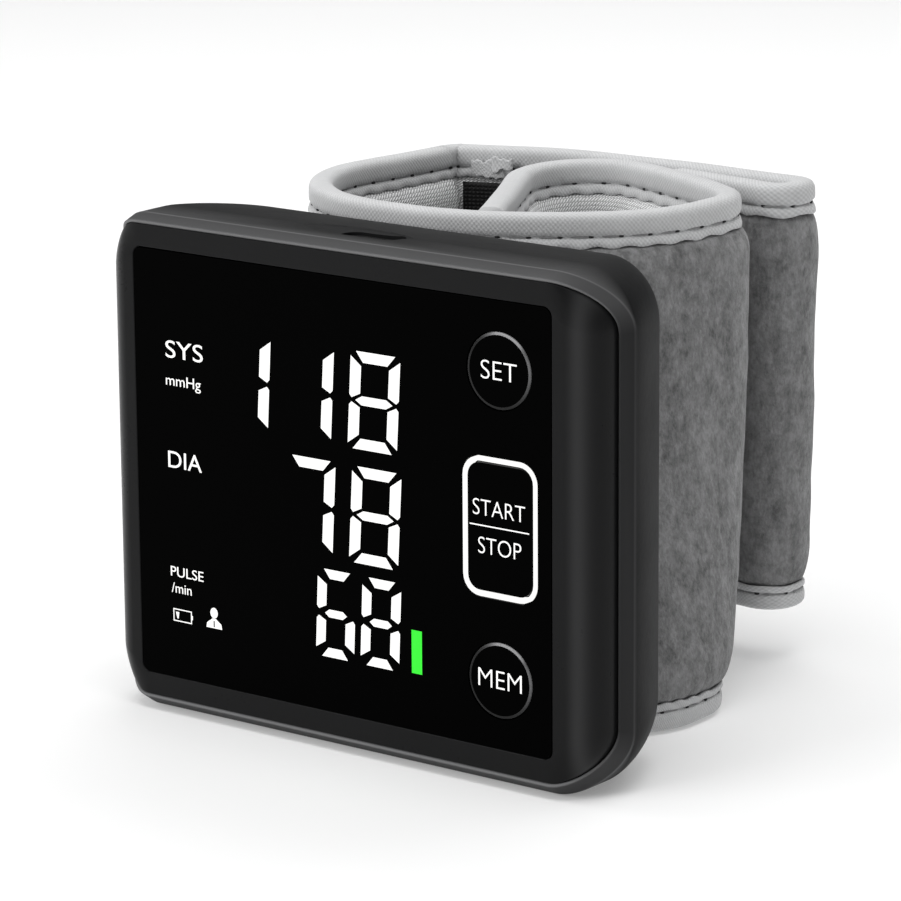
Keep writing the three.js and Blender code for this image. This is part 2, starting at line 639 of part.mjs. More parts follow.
function caseScrew([x, z]) {
  const headBack = CASE_DEPTH - HEAD_RECESS_DEPTH + PART_GAP + SCREW_HEAD_HEIGHT;
  return screw(x, z, headBack, SCREW_LENGTH, -1);
}

function cuffScrew(sign) {
  const headFront = INNER_BACK - PART_GAP;
  return screw(MOUNT_X, sign * CUFF_SCREW_Z, headFront - SCREW_HEAD_HEIGHT, CUFF_SCREW_LENGTH, 1);
}

// Display module

// Outlines of the seven segments of one digit, its foot at the origin, leaning with height
function segmentOutlines(width, height, thickness, gap) {
  const middle = height / 2;
  const tip = thickness * SEGMENT_TIP_SHARE;
  const half = thickness / 2;
  const [near, far] = [thickness + gap, width - thickness - gap];
  const top = [[gap, height], [width - gap, height], [far, height - thickness], [near, height - thickness]];
  const across = [[tip + gap, middle], [near, middle + half], [far, middle + half],
    [width - tip - gap, middle], [far, middle - half], [near, middle - half]];
  const upperRight = [[width, height - gap], [width - thickness, height - thickness - gap],
    [width - thickness, middle + half + gap], [width - tip, middle + gap], [width, middle + tip + gap]];
  const turned = (outline) => outline.map(([x, z]) => [width - x, height - z]);
  const mirrored = (outline) => outline.map(([x, z]) => [width - x, z]);
  const outlines = [top, upperRight, mirrored(turned(upperRight)), turned(top), turned(upperRight),
    mirrored(upperRight), across];
  return outlines.map((outline) => outline.map(([x, z]) => [x + DIGIT_SLANT_SHARE * z, z]));
}

// Every segment of the three rows; the first large digit has only its two right-hand ones
function allSegments(thickness, gap) {
  const rows = [
    { width: LARGE_DIGIT_WIDTH, share: LARGE_DIGIT_SHARE, pitch: LARGE_DIGIT_PITCH, count: 3 },
    { width: LARGE_DIGIT_WIDTH, share: LARGE_DIGIT_SHARE, pitch: LARGE_DIGIT_PITCH, count: 3 },
    { width: SMALL_DIGIT_WIDTH, share: SMALL_DIGIT_SHARE, pitch: SMALL_DIGIT_PITCH, count: 2 },
  ];
  const inset = (SEGMENT_WIDTH - thickness) / 2;
  return rows.flatMap(({ width, share, pitch, count }, row) => {
    const height = MODULE_HEIGHT * share;
    const foot = MODULE_BOTTOM + MODULE_HEIGHT * ROW_FOOT_SHARES[row] + inset;
    const outlines = segmentOutlines(width - 2 * inset, height - 2 * inset, thickness, gap);
    return Array.from({ length: count }, (_, place) => {
      const left = MODULE_RIGHT - DIGITS_INSET - width - place * pitch + inset;
      const used = place === 2 ? outlines.slice(1, 3) : outlines;
      return used.map((outline) => outline.map(([x, z]) => [x + left, z + foot]));
    }).flat();
  });
}

const MASK_FRONT = PANEL_BACK + PART_GAP;
const MASK_BACK = MASK_FRONT + MASK_THICKNESS;
const BARS_FRONT = MASK_BACK + PART_GAP;
const MODULE_X = (MODULE_LEFT + MODULE_RIGHT) / 2;
const MODULE_Z = (MODULE_TOP + MODULE_BOTTOM) / 2;

function modulePlate(front, back) {
  return block(MODULE_X, MODULE_Z, MODULE_RIGHT - MODULE_LEFT, MODULE_TOP - MODULE_BOTTOM, front, back);
}

function displayMask() {
  const slots = allSegments(SEGMENT_WIDTH, SEGMENT_GAP).map((outline) => toSolid(
    extrudeAlongY(shapeFrom(outline), MASK_FRONT - CUT_OVERRUN, MASK_BACK + CUT_OVERRUN)));
  return cut(modulePlate(MASK_FRONT, MASK_BACK), ...slots);
}

function lightBars() {
  const thickness = SEGMENT_WIDTH - 2 * FINE_GAP;
  const bars = allSegments(thickness, SEGMENT_GAP + 2 * FINE_GAP).map((outline) => toSolid(
    extrudeAlongY(shapeFrom(outline), BARS_FRONT - BAR_HEIGHT, BARS_FRONT + FINE_GAP)));
  return join(modulePlate(BARS_FRONT, BOARD_FRONT - PART_GAP), ...bars);
}

// Board and the works on it

function mainBoard() {
  const plate = roundedPlate(0, 0, BOARD_WIDTH, BOARD_HEIGHT, BOARD_CORNER, BOARD_FRONT, BOARD_BACK);
  const chipDepths = [BOARD_BACK - PART_GAP, BOARD_BACK + CHIP_THICKNESS];
  const chip = block(CHIP_X, CHIP_Z, CHIP_SIZE, CHIP_SIZE, ...chipDepths);
  const notches = bossPlaces.map(([x, z]) => rodAlongY(x, z, COVER_BOSS_RADIUS + PART_GAP,
    BOARD_FRONT - CUT_OVERRUN, BOARD_BACK + CUT_OVERRUN, ROUND_STEPS));
  return cut(join(plate, chip), ...notches, portCutter(PART_GAP));
}

function keySwitch(z) {
  const back = BOARD_FRONT - PART_GAP;
  const bodyFront = back - SWITCH_BODY_THICKNESS;
  const plungerFront = FLANGE_BACK + KEY_TRAVEL + FINE_GAP;
  const body = block(KEY_COLUMN_X, z, SWITCH_SIZE, SWITCH_SIZE, bodyFront, back);
  return body.add(rodAlongY(KEY_COLUMN_X, z, SWITCH_PLUNGER_RADIUS, plungerFront, bodyFront + PART_GAP));
}

function usbReceptacle() {
  const height = PORT_LENGTH - SCOOP_DEPTH - PART_GAP;
  const slotPrism = (inset, low, top) => {
    const [x, y] = [PORT_WIDTH / 2 - inset, PORT_THICKNESS / 2 - inset];
    const shape = shapeFrom(roundedOutline(x, y, -x, -y, y));
    const geometry = new THREE.ExtrudeGeometry(shape, { depth: top - low, bevelEnabled: false });
    geometry.translate(PORT_X, PORT_Y, SHELL_TOP - PORT_LENGTH + PART_GAP + low);
    return toSolid(geometry);
  };
  const tongue = height - PORT_TONGUE_THICKNESS;
  const tongueShape = new THREE.BoxGeometry(PORT_TONGUE_WIDTH, PORT_TONGUE_THICKNESS, tongue);
  tongueShape.translate(PORT_X, PORT_Y, SHELL_TOP - PORT_LENGTH + PART_GAP + tongue / 2);
  const can = slotPrism(0, 0, height).subtract(slotPrism(PORT_SHEET, PORT_SHEET, height + CUT_OVERRUN));
  return can.add(toSolid(tongueShape));
}

function batteryCell() {
  const back = INNER_BACK - PART_GAP;
  const [x, width] = [(CELL_LEFT + CELL_RIGHT) / 2, CELL_RIGHT - CELL_LEFT];
  return roundedPlate(x, CELL_Z, width, CELL_HEIGHT, CELL_CORNER, back - CELL_THICKNESS, back);
}

const HEAD_TOP_Z = BUZZER_Z - BUZZER_RADIUS - BUZZER_CLEARANCE;
const HEAD_LOW_Z = HEAD_TOP_Z - PUMP_HEAD_HEIGHT;
const HEAD_MIDDLE_Z = HEAD_TOP_Z - PUMP_HEAD_HEIGHT / 2;
const MOTOR_TOP_Z = HEAD_LOW_Z - PART_GAP;
const MOTOR_LOW_Z = MOTOR_TOP_Z - MOTOR_LENGTH;
const MOTOR_Y = BOARD_BACK + PART_GAP + MOTOR_RADIUS;
const SENSOR_Z = HEAD_MIDDLE_Z * SENSOR_SHARE;

function pumpMotor() {
  const can = rodAlongZ(PUMP_X, MOTOR_Y, MOTOR_RADIUS, MOTOR_LOW_Z, MOTOR_TOP_Z, ROUND_STEPS);
  const collar = rodAlongZ(PUMP_X, MOTOR_Y, MOTOR_COLLAR_RADIUS, MOTOR_LOW_Z - MOTOR_COLLAR_LENGTH,
    MOTOR_LOW_Z + PART_GAP);
  return can.add(collar);
}

function pumpHead() {
  const outline = roundedOutline(PUMP_HEAD_WIDTH / 2, MOTOR_RADIUS, -PUMP_HEAD_WIDTH / 2, -MOTOR_RADIUS,
    PUMP_HEAD_CORNER, HEAD_CORNER_STEPS);
  const depth = PUMP_HEAD_HEIGHT;
  const geometry = new THREE.ExtrudeGeometry(shapeFrom(outline), { depth, bevelEnabled: false });
  geometry.translate(PUMP_X, MOTOR_Y, HEAD_LOW_Z);
  const side = PUMP_X + PUMP_HEAD_WIDTH / 2;
  const nozzle = rodAlongX(AIR_LINE_Y, HEAD_MIDDLE_Z, NOZZLE_RADIUS, side - PART_GAP, side + NOZZLE_LENGTH);
  return toSolid(geometry).add(nozzle);
}

function releaseValve() {
  const upright = (radius, low, high, steps) => rodAlongZ(MOUNT_X, AIR_LINE_Y, radius, low, high, steps);
  const can = upright(VALVE_RADIUS, VALVE_TOP_Z - VALVE_LENGTH, VALVE_TOP_Z, ROUND_STEPS);
  return can.add(upright(NOZZLE_RADIUS, VALVE_TOP_Z - PART_GAP, VALVE_TOP_Z + NOZZLE_LENGTH));
}

function pressureSensor() {
  const front = BOARD_BACK + PART_GAP;
  const back = front + SENSOR_THICKNESS;
  const body = block(MOUNT_X, SENSOR_Z, SENSOR_SIZE, SENSOR_SIZE, front, back);
  const nozzleEnd = back + SENSOR_NOZZLE_LENGTH;
  return body.add(rodAlongY(MOUNT_X, SENSOR_Z, NOZZLE_RADIUS, back - PART_GAP, nozzleEnd));
}

function buzzer() {
  const front = BOARD_BACK + PART_GAP;
  const back = front + BUZZER_THICKNESS;
  const disc = rodAlongY(PUMP_X, BUZZER_Z, BUZZER_RADIUS, front, back, ROUND_STEPS);
  const hole = rodAlongY(PUMP_X, BUZZER_Z, BUZZER_HOLE, front + BUZZER_THICKNESS / 2, back + CUT_OVERRUN);
  return disc.subtract(hole);
}

// Rubber line from the cuff's nipple to the pump, with branches to the valve and the sensor
function airTube() {
  const tubeEnd = PUMP_X + PUMP_HEAD_WIDTH / 2 + PART_GAP;
  const nippleEnd = INNER_BACK - PART_GAP;
  const bend = TUBE_RADIUS + PART_GAP;
  const route = (radius, overrun) => {
    const points = [
      new THREE.Vector3(MOUNT_X, nippleEnd + overrun, 0),
      new THREE.Vector3(MOUNT_X, AIR_LINE_Y + bend, 0),
      new THREE.Vector3(MOUNT_X, AIR_LINE_Y, bend),
      new THREE.Vector3(MOUNT_X, AIR_LINE_Y, HEAD_MIDDLE_Z - bend),
      new THREE.Vector3(tubeEnd, AIR_LINE_Y, HEAD_MIDDLE_Z),
      new THREE.Vector3(tubeEnd - overrun, AIR_LINE_Y, HEAD_MIDDLE_Z),
    ];
    points.splice(4, 0, new THREE.Vector3(MOUNT_X - bend / 2, AIR_LINE_Y, HEAD_MIDDLE_Z - bend / 4));
    const circle = new THREE.EllipseCurve(0, 0, radius, radius).getPoints(TUBE_SIDES).slice(1);
    const extrudePath = new THREE.CatmullRomCurve3(points, false, 'centripetal');
    const along = { steps: TUBE_STEPS, extrudePath, bevelEnabled: false };
    return toSolid(new THREE.ExtrudeGeometry(new THREE.Shape(circle), along));
  };
  const valveEnd = VALVE_TOP_Z + PART_GAP;
  const sensorEnd = BOARD_BACK + SENSOR_THICKNESS + 2 * PART_GAP;
  const branches = (radius, overrun) => join(
    rodAlongZ(MOUNT_X, AIR_LINE_Y, radius, valveEnd - overrun, bend),
    rodAlongY(MOUNT_X, SENSOR_Z, radius, sensorEnd - overrun, AIR_LINE_Y));
  const outside = join(route(TUBE_RADIUS, PART_GAP / 2), branches(TUBE_RADIUS, 0));
  return cut(outside, route(TUBE_BORE, CUT_OVERRUN), branches(TUBE_BORE, CUT_OVERRUN));
}

// Cuff: strips swept along a plan path

// Stations along a chain of corners behind the casing, each corner rounded by its radius in
// so many steps
function filletedPath(corners) {
  const stations = [];
  const push = (point, heading) => stations.push({ x: point.x, y: point.y, heading });
  const at = ([x, distance]) => new THREE.Vector2(x, CASE_DEPTH + distance);
  const headingOf = (from, to) => Math.atan2(to.y - from.y, to.x - from.x);
  const points = corners.map(at);
  push(points[0], headingOf(points[0], points[1]));
  for (let i = 1; i + 1 < corners.length; i += 1) {
    const into = headingOf(points[i - 1], points[i]);
    const out = headingOf(points[i], points[i + 1]);
    const turn = Math.atan2(Math.sin(out - into), Math.cos(out - into));
    const [, , radius, steps] = corners[i];
    const tangent = radius * Math.tan(turn / 2);
    const centreX = points[i].x - tangent * Math.cos(into) - radius * Math.sin(into);
    const centreY = points[i].y - tangent * Math.sin(into) + radius * Math.cos(into);
    for (let step = 0; step <= steps; step += 1) {
      const heading = into + turn * step / steps;
      const x = centreX + radius * Math.sin(heading);
      push({ x, y: centreY - radius * Math.cos(heading) }, heading);
    }
  }
  push(points.at(-1), headingOf(points.at(-2), points.at(-1)));
  return stations;
}

// A strap's two edges in plan, whose stations match one to one
function strapPath(upperCorners, lowerCorners) {
  const lower = filletedPath(lowerCorners);
  return filletedPath(upperCorners).map((upper, i) => ({ upper, lower: lower[i] }));
}

function sleeveCorners(frontX, frontRadius, turnX, turnY, turnRadius) {
  return [
    [CREASE_X, CREASE_Y],
    [LEFT_BEND_X, FRONT_WALL_DISTANCE, LEFT_BEND_RADIUS, WIDE_BEND_STEPS],
    [frontX, FRONT_WALL_DISTANCE, frontRadius, WIDE_BEND_STEPS],
    [turnX, turnY, turnRadius, TIGHT_BEND_STEPS],
    [ROLL_CORNER_X, ROLL_CORNER_Y, ROLL_TURN_RADIUS, TIGHT_BEND_STEPS],
    [ROLL_END_X, ROLL_END_Y],
  ];
}

function flapCorners(rightX, shiftY) {
  return [
    [FLAP_TIP_X, FLAP_TIP_Y + shiftY],
    [rightX, FLAP_INNER_Y + shiftY, FLAP_FOLD_RADIUS, TIGHT_BEND_STEPS],
    [rightX, FLAP_OUTER_Y + shiftY, FLAP_FOLD_RADIUS, TIGHT_BEND_STEPS],
    [FLAP_BEND_X, FLAP_OUTER_Y + shiftY, FLAP_BEND_RADIUS, SHALLOW_BEND_STEPS],
    [FLAP_ROOT_X, FLAP_ROOT_Y],
  ];
}

const sleevePath = strapPath(
  sleeveCorners(FRONT_BEND_X, FRONT_BEND_RADIUS, RIGHT_TURN_X, RIGHT_TURN_Y, RIGHT_TURN_RADIUS),
  sleeveCorners(LOW_FRONT_BEND_X, LOW_FRONT_BEND_RADIUS, LOW_RIGHT_TURN_X, LOW_RIGHT_TURN_Y,
    LOW_RIGHT_TURN_RADIUS));
const flapPath = strapPath(flapCorners(FLAP_RIGHT_X, 0), flapCorners(LOW_FLAP_RIGHT_X, LOW_FLAP_SHIFT_Y));

// The part of a path between two shares of its length
function portion(path, [start, end]) {
  const lengths = [0];
  for (let i = 1; i < path.length; i += 1) {
    const [{ upper: last }, { upper: next }] = [path[i - 1], path[i]];
    lengths.push(lengths[i - 1] + Math.hypot(next.x - last.x, next.y - last.y));
  }
  const total = lengths.at(-1);
  const pointAt = (share) => {
    const place = share * total;
    const next = Math.max(1, lengths.findIndex((length) => length >= place));
    const mix = (place - lengths[next - 1]) / (lengths[next] - lengths[next - 1]);
    const station = (edge) => {
      const [from, to] = [path[next - 1][edge], path[next][edge]];
      const between = (key) => THREE.MathUtils.lerp(from[key], to[key], mix);
      const [x, y, heading] = ['x', 'y', 'heading'].map(between);
      return { x, y, heading };
    };
    return { upper: station('upper'), lower: station('lower') };
  };
  const inside = path.filter((_, i) => lengths[i] > start * total && lengths[i] < end * total);
  return [pointAt(start), ...inside, pointAt(end)];
}

// Sweeps a section along a strap; each section point is [distance outwards, height], and the
// strap passes from its upper plan to its lower one, faster towards its lower edge
function sweep(path, sectionAt) {
  const sections = path.map((station, i) => sectionAt(i / (path.length - 1)));
  const offset = ({ x, y, heading }, out) => [x + out * Math.sin(heading), y - out * Math.cos(heading)];
  const rings = path.map(({ upper, lower }, i) => sections[i].map(([out, z]) => {
    const drop = ((CUFF_TOP - z) / (CUFF_TOP - CUFF_BOTTOM)) ** 2;
    const [high, low] = [offset(upper, out), offset(lower, out)];
    return [...high.map((value, axis) => THREE.MathUtils.lerp(value, low[axis], drop)), z];
  }));
  return loft(rings, foldedCap(sections[0].length));
}

// Half thickness of the padded strap at a height between its two bound edges
function padHalfAt(z, low, high, half) {
  const rise = (fromEdge, shoulder) => {
    const share = THREE.MathUtils.clamp((fromEdge - BINDING_HEIGHT - PART_GAP) / shoulder, 0, 1);
    return Math.sqrt(1 - (1 - share) ** 2);
  };
  const swell = Math.min(rise(high - z, SHOULDER_TOP), rise(z - low, SHOULDER_BOTTOM));
  return EDGE_HALF + (half - EDGE_HALF) * swell;
}

function rowsBetween(low, high) {
  return [low, ...MIDDLE_SHARES.map((share) => THREE.MathUtils.lerp(low, high, share)), high];
}

function skinHeights(low, high) {
  const inset = BINDING_TAPE + PART_GAP;
  const start = BINDING_HEIGHT + PART_GAP;
  const lower = [0, ...SHOULDER_SHARES].map((share) => low + start + share * SHOULDER_BOTTOM);
  const upper = [0, ...SHOULDER_SHARES].map((share) => high - start - share * SHOULDER_TOP).reverse();
  const middle = rowsBetween(lower.at(-1), upper[0]).slice(1, -1);
  return [low + inset, ...lower, ...middle, ...upper, high - inset];
}

// A skin on the outer side (side 1) or the inner side (side -1) of the strap
function skinSection(side, low, high, half) {
  const heights = skinHeights(low, high);
  const face = heights.map((z) => [side * padHalfAt(z, low, high, half), z]);
  const back = heights.map((z) => [side * (padHalfAt(z, low, high, half) - SKIN_THICKNESS), z]);
  return [...face, ...back.reverse()];
}

// Folded tape over one edge; direction 1 for the upper edge, -1 for the lower one
function bindingSection(edge, direction) {
  const inner = BINDING_HALF - BINDING_TAPE;
  const round = BINDING_ROUND;
  const right = [[inner, BINDING_TAPE], [inner, BINDING_HEIGHT], [BINDING_HALF, BINDING_HEIGHT],
    [BINDING_HALF, round], [BINDING_HALF - round / 3, round / 3], [BINDING_HALF - round, 0]];
  const left = right.map(([out, drop]) => [-out, drop]).reverse();
  return [...right, ...left].map(([out, drop]) => [out, edge - direction * drop]);
}

function bandSection(inner, outer, heights) {
  return [...heights.map((z) => [outer, z]), ...heights.map((z) => [inner, z]).reverse()];
}

function sleeveSkin(side) {
  return sweep(sleevePath, () => skinSection(side, CUFF_BOTTOM, CUFF_TOP, PAD_HALF));
}

function sleeveBinding(edge, direction) {
  return sweep(sleevePath, () => bindingSection(edge, direction));
}

const PAD_LOW = CUFF_BOTTOM + BINDING_HEIGHT + SHOULDER_BOTTOM + 2 * PART_GAP;
const PAD_HIGH = CUFF_TOP - BINDING_HEIGHT - SHOULDER_TOP - 2 * PART_GAP;

function mountHoles(radius, nippleRadius) {
  const through = [CASE_DEPTH - CUT_OVERRUN, FRONT_WALL_Y];
  const holes = [1, -1].map((sign) => rodAlongY(MOUNT_X, sign * CUFF_SCREW_Z, radius, ...through));
  return [...holes, rodAlongY(MOUNT_X, 0, nippleRadius, ...through)];
}

function sleeveFelt() {
  const holes = mountHoles(STIFFENER_BOSS_RADIUS + PART_GAP, NIPPLE_RADIUS + PART_GAP);
  return cut(toSolid(sleeveSkin(1)), ...holes);
}

// Sprung band that holds the front of the cuff round, with two screw bosses to the casing
function cuffStiffener() {
  const inner = STIFFENER_OUTER - STIFFENER_THICKNESS;
  const section = () => bandSection(inner, STIFFENER_OUTER, rowsBetween(PAD_LOW, PAD_HIGH));
  const band = toSolid(sweep(portion(sleevePath, STIFFENER_SHARES), section));
  const bosses = [1, -1].map((sign) => rodAlongY(MOUNT_X, sign * CUFF_SCREW_Z, STIFFENER_BOSS_RADIUS,
    CASE_DEPTH + PART_GAP, FRONT_WALL_Y - STIFFENER_OUTER + STIFFENER_THICKNESS / 2));
  return cut(join(band, ...bosses), ...mountHoles(SCREW_RADIUS + PART_GAP, NIPPLE_RADIUS + PART_GAP));
}

function airBladder() {
  const outer = STIFFENER_OUTER - STIFFENER_THICKNESS - PART_GAP;
  const inner = SKIN_THICKNESS + PART_GAP - PAD_HALF;
  const heights = rowsBetween(PAD_LOW + BLADDER_INSET, PAD_HIGH - BLADDER_INSET);
  const section = () => bandSection(inner, outer, heights);
  const bag = toSolid(sweep(portion(sleevePath, BLADDER_SHARES), section));
  const seat = FRONT_WALL_Y - outer;
  const mouth = INNER_BACK - NIPPLE_REACH;
  const nipple = rodAlongY(MOUNT_X, 0, NIPPLE_RADIUS, mouth, seat + PART_GAP);
  const bore = rodAlongY(MOUNT_X, 0, NIPPLE_BORE, mouth - CUT_OVERRUN, seat);
  return cut(join(bag, nipple), bore);
}

// The flap's lower edge rises from the crease, at the path's end, towards its fold
function flapLow(share) {
  const rise = THREE.MathUtils.smoothstep(1 - share, 0, FLAP_RISE_SHARE);
  return CUFF_BOTTOM + THREE.MathUtils.lerp(FLAP_RISE / 2, FLAP_RISE, rise);
}

function flapSkin(side) {
  const section = (share) => skinSection(side, flapLow(share), CUFF_TOP, FLAP_HALF);
  return sweep(flapPath, section);
}

function flapBinding(edgeAt, direction) {
  return sweep(flapPath, (share) => bindingSection(edgeAt(share), direction));
}

function flapPadding() {
  const inset = BINDING_HEIGHT + SHOULDER_TOP;
  const high = CUFF_TOP - inset;
  const section = (share) => bandSection(-PADDING_HALF, PADDING_HALF, [flapLow(share) + inset, high]);
  return sweep(flapPath, section);
}

// Hooked patch on the inside of the flap, which closes on the felt
function hookPatch() {
  const face = -FLAP_HALF - PART_GAP;
  const inset = BINDING_HEIGHT + HOOK_INSET;
  const low = CUFF_BOTTOM + FLAP_RISE + inset;
  const section = () => bandSection(face - HOOK_THICKNESS, face, [low, CUFF_TOP - inset]);
  return sweep(portion(flapPath, HOOK_SHARES), section);
}

// Tail of the binding tape, sewn down inside the flap next to the crease
function bindingTail() {
  const face = -FLAP_HALF - PART_GAP;
  const high = CUFF_TOP - TAIL_INSET;
  const section = () => bandSection(face - 2 * BINDING_TAPE, face, [high - TAIL_HEIGHT, high]);
  return sweep(portion(flapPath, TAIL_SHARES), section);
}

// Materials

function finish(color, roughness, metalness = 0) {
  return new THREE.MeshStandardMaterial({ color, roughness, metalness });
}

const blackPlastic = finish(0x202123, 0.45);
const shellPlastic = finish(0x2b2c2e, 0.5);
const panelGloss = finish(0x050505, 0.08);
const ringWhite = finish(0xe8e8e6, 0.35);
const boardGreen = finish(0x1f4a35, 0.6);
const steel = finish(0xa9abad, 0.35, 0.9);
const partBlack = finish(0x161616, 0.55);
const lightBar = finish(0xf2f2ee, 0.5);
const cellFoil = finish(0x9aa2aa, 0.4, 0.5);
const rubber = finish(0x8c8c88, 0.8);
const felt = finish(0x6f7072, 0.95);
const mesh = finish(0x9a9b9c, 0.9);
const tape = finish(0xb4b5b5, 0.85);
const naturalPlastic = finish(0xd8d6cf, 0.5);

// Assembly

const monitor = new THREE.Group();

function place(parent, name, form, material) {
  const geometry = form.isBufferGeometry ? closed(form) : toGeometry(form);
  const piece = new THREE.Mesh(geometry, material);
  piece.name = name;
  parent.add(piece);
  return piece;
}

function addCasing(casing) {
  place(casing, 'front_cover', frontCover(), blackPlastic);
  place(casing, 'display_window', displayPanel(), panelGloss);
  place(casing, 'start_stop_ring', keyRing(), ringWhite);
  place(casing, 'rear_shell', rearShell(), shellPlastic);
  bossPlaces.forEach((boss, i) => place(casing, `case_screw_${i + 1}`, caseScrew(boss), steel));
  [1, -1].forEach((sign, i) => place(casing, `cuff_screw_${i + 1}`, cuffScrew(sign), steel));
}

function addKeys(keys) {
  const setKey = place(keys, 'set_key', roundKey(), panelGloss);
  setKey.position.set(KEY_COLUMN_X, 0, ROUND_KEY_OFFSET_Z);
  const memKey = place(keys, 'mem_key', roundKey(), panelGloss);
  memKey.position.set(KEY_COLUMN_X, 0, -ROUND_KEY_OFFSET_Z);
  place(keys, 'start_stop_key', mainKey(), panelGloss);
}

function addWorks(works) {
  place(works, 'main_board', mainBoard(), boardGreen);
  place(works, 'display_mask', displayMask(), partBlack);
  place(works, 'display_light_bars', lightBars(), lightBar);
  place(works, 'set_switch', keySwitch(ROUND_KEY_OFFSET_Z), partBlack);
  place(works, 'start_stop_switch', keySwitch(MAIN_KEY_Z), partBlack);
  place(works, 'mem_switch', keySwitch(-ROUND_KEY_OFFSET_Z), partBlack);
  place(works, 'usb_receptacle', usbReceptacle(), steel);
  place(works, 'battery_cell', batteryCell(), cellFoil);
  place(works, 'pump_motor', pumpMotor(), steel);
  place(works, 'pump_head', pumpHead(), naturalPlastic);
  place(works, 'release_valve', releaseValve(), partBlack);
  place(works, 'pressure_sensor', pressureSensor(), naturalPlastic);
  place(works, 'buzzer', buzzer(), partBlack);
  place(works, 'air_tube', airTube(), rubber);
}

function addSleeve(sleeve) {
  place(sleeve, 'sleeve_felt', sleeveFelt(), felt);
  place(sleeve, 'sleeve_lining', sleeveSkin(-1), mesh);
  place(sleeve, 'sleeve_top_binding', sleeveBinding(CUFF_TOP, 1), tape);
  place(sleeve, 'sleeve_bottom_binding', sleeveBinding(CUFF_BOTTOM, -1), tape);
  place(sleeve, 'cuff_stiffener', cuffStiffener(), naturalPlastic);
  place(sleeve, 'air_bladder', airBladder(), rubber);
}

function addFlap(flap) {
  place(flap, 'flap_felt', flapSkin(1), felt);
  place(flap, 'flap_lining', flapSkin(-1), mesh);
  place(flap, 'flap_top_binding', flapBinding(() => CUFF_TOP, 1), tape);
  place(flap, 'flap_bottom_binding', flapBinding(flapLow, -1), tape);
  place(flap, 'flap_padding', flapPadding(), naturalPlastic);
  place(flap, 'hook_patch', hookPatch(), partBlack);
  place(flap, 'binding_tail', bindingTail(), tape);
}

for (const fill of [addCasing, addKeys, addWorks, addSleeve, addFlap]) {
  const group = new THREE.Group();
  fill(group);
  monitor.add(group);
}

// The origin lies under the middle of the whole monitor, on the surface that it stands on
const extent = new THREE.Box3().setFromObject(monitor);
const middle = extent.getCenter(new THREE.Vector3());
monitor.position.set(-middle.x, -middle.y, -extent.min.z);

export default monitor;
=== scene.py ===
"""Looks of a wrist blood pressure monitor: dark moulded case, gloss panel and padded cuff."""

import math

import bmesh
import bpy
import numpy as np
from bpy.props import FloatProperty, FloatVectorProperty, IntProperty, PointerProperty
from mathutils import Matrix, Vector


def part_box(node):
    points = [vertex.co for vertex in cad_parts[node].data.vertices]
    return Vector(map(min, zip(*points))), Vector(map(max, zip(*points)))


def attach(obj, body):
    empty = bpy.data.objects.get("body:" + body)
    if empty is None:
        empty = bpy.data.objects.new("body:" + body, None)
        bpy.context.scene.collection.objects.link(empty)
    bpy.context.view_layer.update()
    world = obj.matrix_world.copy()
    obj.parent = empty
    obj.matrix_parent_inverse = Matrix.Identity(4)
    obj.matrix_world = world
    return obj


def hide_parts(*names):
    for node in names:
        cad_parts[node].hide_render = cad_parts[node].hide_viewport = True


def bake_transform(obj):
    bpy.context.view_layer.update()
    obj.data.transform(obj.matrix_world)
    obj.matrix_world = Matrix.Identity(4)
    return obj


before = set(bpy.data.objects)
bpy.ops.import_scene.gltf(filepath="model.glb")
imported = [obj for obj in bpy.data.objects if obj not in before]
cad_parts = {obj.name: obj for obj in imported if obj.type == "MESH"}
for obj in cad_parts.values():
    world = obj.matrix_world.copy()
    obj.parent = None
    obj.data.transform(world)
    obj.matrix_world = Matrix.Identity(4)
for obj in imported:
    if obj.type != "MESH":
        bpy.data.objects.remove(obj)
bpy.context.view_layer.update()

bl_info = {
    "name": "Wrist blood pressure monitor",
    "version": (1, 0, 0),
    "blender": (4, 5, 0),
    "location": "View3D > Sidebar > Monitor",
    "description": "Dresses the packed wrist monitor: case, display, keys, cuff and stage",
    "category": "Object",
}

MM = 0.001
MONITOR = "monitor"
FLAP = "cuff_flap"

# The panel's front carries the datum: X to the right, Y backwards, Z up, in millimetres
WINDOW_LOW, WINDOW_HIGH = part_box("display_window")
PANEL_SET_BACK = 0.05
DATUM = Vector((
    (WINDOW_LOW.x + WINDOW_HIGH.x) / 2,
    WINDOW_LOW.y - PANEL_SET_BACK * MM,
    (WINDOW_LOW.z + WINDOW_HIGH.z) / 2,
))

# Window and its recess
PANEL_HALF_WIDTH = 33.35
PANEL_HALF_HEIGHT = 28.45
PANEL_CORNER = 1.15
PANEL_THICKNESS = 1.2
PANEL_EDGE = 0.06
MARK_DEPTHS = (PANEL_SET_BACK - 0.02, PANEL_SET_BACK + 0.02)
RECESS_DEPTH = 1.4
PART_GAP = 0.3
FINE_GAP = 0.12
CUT_OVERRUN = 1

# Front cover
COVER_HALF_WIDTH = 39.1
COVER_HALF_HEIGHT = 31.55
COVER_CORNER = 6.6
COVER_DEPTH = 8.0
COVER_WALL = 1.6
COVER_FLOOR_BACK = 3.0
COVER_CORE_INSET = 3
COVER_CORE_CORNER = 2.5
SKIRT_EDGE = 0.2
END_FILLET = 0.4  # share of the edge rounding that the face has above and below
FACE_FLAT = 35.0
ROLL_WIDTH = 4.1
ROLL_DEPTH = 5.75
# Painted highlight: a lighter band painted down the cover's rolled sides, where the gloss catches
# the light
PAINTED_SHEEN_X = 36.9
PAINTED_SHEEN_WIDTH = 1.0
PAINTED_SHEEN = 0.8
